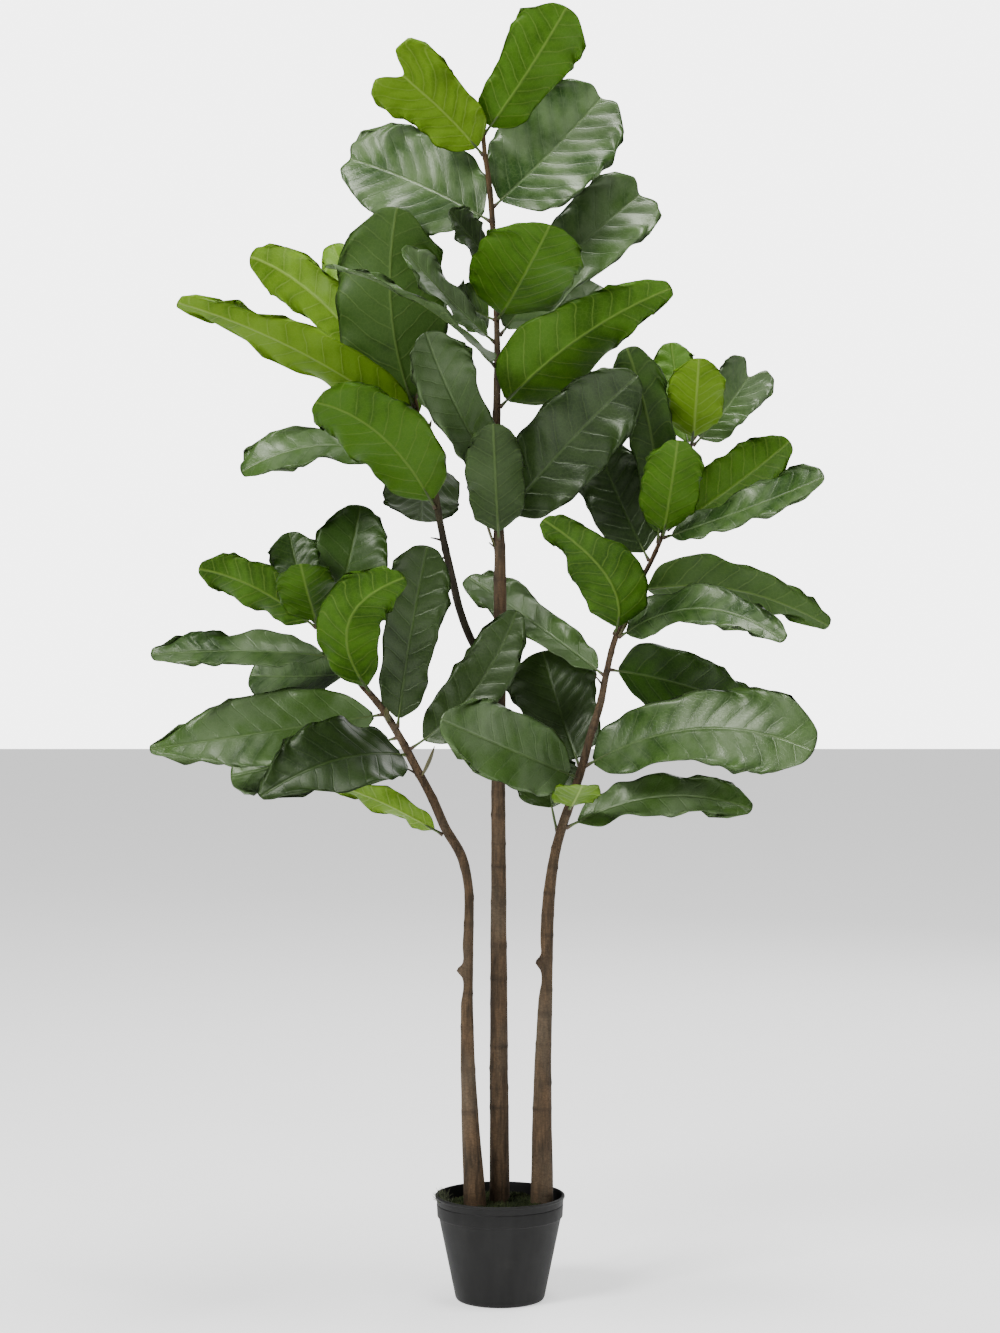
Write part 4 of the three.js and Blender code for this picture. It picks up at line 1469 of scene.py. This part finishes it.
# ---------------------------------------------------------------- small growth
@dataclass
class Growth:
    """Buds, sheaths and stumps that the stems carry."""

    seed: int = 21

    def buds(self) -> bpy.types.Object:
        """A pointed bud in its sheath at the top of each stem.

        Returns:
            The piece.
        """
        dice = np.random.default_rng(self.seed)
        corners: list[Array] = []
        faces: list[list[int]] = []
        for line in STEM_LINES:
            tip = line.centres[-1]
            aim = unit(line.centres[-1] - line.centres[-2])
            for size, lean in ((1.0, 0.0), (0.6, 0.5), (0.5, -0.6)):
                side = unit(np.cross(aim, dice.normal(0, 1, 3)))
                way = unit(aim + side * lean)
                length = 0.021 * size
                spots = np.array([tip + way * length * t - aim * 0.003 for t in np.linspace(0, 1, 9)])
                radii = 0.0029 * size * np.sin(np.linspace(0.9, 3.1, 9)) + 0.00025
                part, rows = tube(spots, radii, 10)
                first = sum(len(c) for c in corners)
                faces += [[first + corner for corner in row] for row in rows]
                corners.append(part)
        points = np.vstack(corners)
        return mesh_object(
            "shoot_buds", points, faces, [FINISHED.bud], None,
            {"browning": np.full(len(points), 0.4)},
        )

    def stubs(self) -> bpy.types.Object:
        """Short dead stubs on the lower sides of the leaders.

        Returns:
            The piece.
        """
        dice = np.random.default_rng(self.seed + 1)
        places = (
            ("trunk_left", 0.735, (-0.75, -0.3, 0.55), 0.022),
            ("trunk_left", 0.800, (-0.55, 0.5, 0.7), 0.016),
            ("trunk_right", 0.705, (0.4, -0.5, 0.8), 0.018),
            ("trunk_right", 0.860, (-0.6, -0.3, 0.7), 0.014),
            ("trunk_centre", 1.050, (-0.8, -0.3, 0.5), 0.014),
            ("side_branch", 1.063, (-0.9, -0.1, 0.3), 0.013),
            ("side_branch", 1.040, (-0.8, -0.5, -0.1), 0.007),
        )
        corners: list[Array] = []
        faces: list[list[int]] = []
        for node, height, way, length in places:
            line = next(line for line in STEM_LINES if line.node == node)
            rows_z = line.centres[:, 2]
            root = np.array([np.interp(height, rows_z, line.centres[:, k]) for k in range(3)])
            aim = unit(np.array(way, dtype=float))
            bend = unit(dice.normal(0, 1, 3)) * length * 0.12
            at = np.linspace(0, 1, 7)
            start = root + aim * 0.002
            spots = np.array([start + aim * (0.004 + length) * t + bend * t * t for t in at])
            radii = 0.0022 * (1 - 0.62 * at)
            part, rows = tube(spots, radii, 8)
            first = sum(len(c) for c in corners)
            faces += [[first + corner for corner in row] for row in rows]
            corners.append(part)
        points = np.vstack(corners)
        return mesh_object(
            "dead_stubs", points, faces, [FINISHED.bark[YOUNG_BARK.name]], None,
            {"scar": np.zeros(len(points))},
        )


    def bracts(self) -> bpy.types.Object:
        """Narrow pointed bracts that stand up from the bark.

        Returns:
            The piece.
        """
        places = (
            ("trunk_centre", 1.054, (-0.30, -0.12, 1.0), 0.054),
            ("trunk_centre", 1.180, (0.40, -0.30, 1.0), 0.030),
            ("trunk_left", 0.738, (0.42, -0.30, 1.0), 0.046),
            ("trunk_left", 0.812, (-0.20, -0.60, 1.0), 0.024),
            ("trunk_right", 0.930, (0.50, -0.35, 1.0), 0.034),
            ("trunk_right", 1.120, (-0.55, -0.30, 1.0), 0.026),
            ("side_branch", 1.205, (0.45, -0.40, 1.0), 0.030),
        )
        corners: list[Array] = []
        faces: list[list[int]] = []
        for node, height, way, length in places:
            line = next(line for line in STEM_LINES if line.node == node)
            rows_z = line.centres[:, 2]
            root = np.array([np.interp(height, rows_z, line.centres[:, k]) for k in range(3)])
            thick = float(np.interp(height, rows_z, line.widths))
            aim = unit(np.array(way, dtype=float))
            flat = unit(np.array([aim[0], aim[1], 0.0]))
            at = np.linspace(0, 1, 15)
            start = root + flat * (thick - 0.0012)
            spots = np.array([start + aim * length * t + flat * 0.006 * t * (1 - t) for t in at])
            radii = 0.0042 * np.sin(np.pi * np.clip(0.14 + 0.84 * at, 0, 1)) ** 0.8 + 0.0002
            part, rows = tube(spots, radii, 12)
            spine = np.repeat(spots, 12, axis=0)[: len(part)]
            out = ((part[: len(spine)] - spine) @ flat)[:, None] * flat
            part[: len(spine)] -= 0.72 * out
            first = sum(len(c) for c in corners)
            faces += [[first + corner for corner in row] for row in rows]
            corners.append(part)
        points = np.vstack(corners)
        return mesh_object(
            "stem_bracts", points, faces, [FINISHED.bud], None,
            {"browning": np.full(len(points), 0.12)},
        )


# ---------------------------------------------------------------- all finishes
class Finishes:
    """Every material, built once."""

    def __init__(self) -> None:
        """Builds the materials."""
        self.top = {tone: finish.build() for tone, finish in TOP_FINISHES.items()}
        self.under = {tone: finish.build() for tone, finish in UNDER_FINISHES.items()}
        self.bark = {finish.name: finish.build() for finish in (OLD_BARK, YOUNG_BARK)}
        self.stalk = STALK.build()
        self.bud = BUD.build()
        self.soil = SOIL.build()
        self.moss = MOSS.build()
        self.dry_moss = EarthFinish(
            "moss_dry_grey", (0.040, 0.048, 0.026), (0.120, 0.135, 0.080), (0.09, 0.11, 0.05), 260.0
        ).build()
        self.plastic = PlasticFinish().build()


FINISHED = Finishes()

TONES = {
    Tone.SPRING: "c02 b02 b03 b04 r01 r19 l11",
    Tone.FRESH: "c01 c06 c08 b05 r06 r07 r09 l01 l03 l05 r02",
    Tone.MID: "b01 r04 r10 c12 r12 l02 l04",
    # Leaves with painted sheen in their greens.
    Tone.GREY: "c03 c04 c07 c09 c10 c11 c13 b06 r03 r08 r11 r14 l07 l08 l09 r13 r16 r18 l13",
    # Leaves with painted shade from inside the crown in their darker greens.
    Tone.DARK: "c05 c14 c15 b07 r05 r15 r17 l06 l10 l12",
}


# ---------------------------------------------------------------- stage
@dataclass(frozen=True)
class Studio:
    """Pale floor, soft lights and the camera."""

    distance: float = 4.12
    height: float = 1.0
    tilt: float = math.radians(90 - 1.56)
    lens: float = 79.7
    backdrop: float = 5.0
    ambient: float = 0.22
    floor_half: float = 14.0
    floor_glow: float = 0.85

    def build(self) -> None:
        """Builds the stage."""
        self._floor()
        self._world()
        self._light("key", (-2.6, -2.6, 3.6), 1.3, 230.0)
        self._light("fill", (3.4, -2.6, 1.8), 2.4, 24.0)
        self._light("top", (0.4, -0.3, 4.4), 1.4, 170.0)
        self._light("back", (1.6, 3.0, 2.6), 2.2, 60.0)
        self._camera()

    def _floor(self) -> None:
        """The floor the pot stands on."""
        sk = Sketch("studio_floor")
        grain = sk.noise(sk.place(), 3.0)
        base = sk.blend(grain, (0.86, 0.86, 0.86), (0.9, 0.9, 0.9))
        material = sk.finish(
            {
                "Base Color": base,
                "Roughness": 0.9,
                "Emission Color": (1.0, 1.0, 1.0, 1.0),
                "Emission Strength": self.floor_glow,
            }
        )
        half = self.floor_half
        points = np.array([[-half, -half, 0], [half, -half, 0], [half, half, 0], [-half, half, 0]])
        floor = mesh_object("studio_floor", points, [[0, 1, 2, 3]], [material])

    def _world(self) -> None:
        """Pale even surroundings."""
        world = bpy.data.worlds.new("pale_room")
        world.use_nodes = True
        tree = world.node_tree
        seen = tree.nodes.new("ShaderNodeBackground")
        seen.inputs["Color"].default_value = (1.0, 1.0, 1.0, 1.0)
        seen.inputs["Strength"].default_value = self.backdrop
        back = tree.nodes["Background"]
        back.inputs["Color"].default_value = (1.0, 1.0, 1.0, 1.0)
        back.inputs["Strength"].default_value = self.ambient
        path = tree.nodes.new("ShaderNodeLightPath")
        mix = tree.nodes.new("ShaderNodeMixShader")
        tree.links.new(path.outputs["Is Camera Ray"], mix.inputs[0])
        tree.links.new(back.outputs[0], mix.inputs[1])
        tree.links.new(seen.outputs[0], mix.inputs[2])
        tree.links.new(mix.outputs[0], tree.nodes["World Output"].inputs["Surface"])
        bpy.context.scene.world = world

    def _light(self, name: str, place: Sequence[float], size: float, power: float) -> None:
        """A square soft light aimed at the crown."""
        data = bpy.data.lights.new(name, "AREA")
        data.energy = power
        data.size = size
        lamp = bpy.data.objects.new(name, data)
        lamp.location = place
        aim = Vector((0, 0, 1.0)) - Vector(place)
        lamp.rotation_euler = aim.to_track_quat("-Z", "Y").to_euler()
        bpy.context.scene.collection.objects.link(lamp)

    def _camera(self) -> None:
        """The camera in front of the plant."""
        data = bpy.data.cameras.new("camera")
        data.lens = self.lens
        data.sensor_width = 36.0
        camera = bpy.data.objects.new("camera", data)
        camera.location = (0, -self.distance, self.height)
        camera.rotation_euler = Euler((self.tilt, 0, 0))
        bpy.context.scene.collection.objects.link(camera)
        bpy.context.scene.camera = camera


# ---------------------------------------------------------------- assembly
def stand_for(piece: bpy.types.Object, node: str | None = None) -> None:
    """Ties a piece to the frame.

    Args:
        piece: the finished piece.
        node: the frame solid it stands for, if any.
    """
    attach(piece, "root")
    if node:
        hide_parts(node)
    LOG.info("%s: %d faces", piece.name, len(piece.data.polygons))


def main() -> None:
    """Builds the plant from the pot upwards."""
    logging.basicConfig(level=logging.INFO, format="%(name)s %(message)s")
    Studio().build()
    pot = Pot()
    stand_for(pot.build(), "pot")
    soil, *loose = Bed(pot).build()
    stand_for(soil, "soil")
    for piece in loose:
        stand_for(piece)
    for number, line in enumerate(STEM_LINES):
        young = line.node == "side_branch"
        finish = YOUNG_BARK if young else OLD_BARK
        stand_for(Stem(line, finish, 31 + number).build(), line.node)
    growth = Growth()
    stand_for(growth.buds())
    stand_for(growth.stubs())
    stand_for(growth.bracts())
    number = 100
    for tone, letters in TONES.items():
        for short in letters.split():
            number += 1
            node = f"leaf_{short}"
            stand_for(Leaf(node, tone, number).build(), node)


if __name__ == "__main__":
    main()
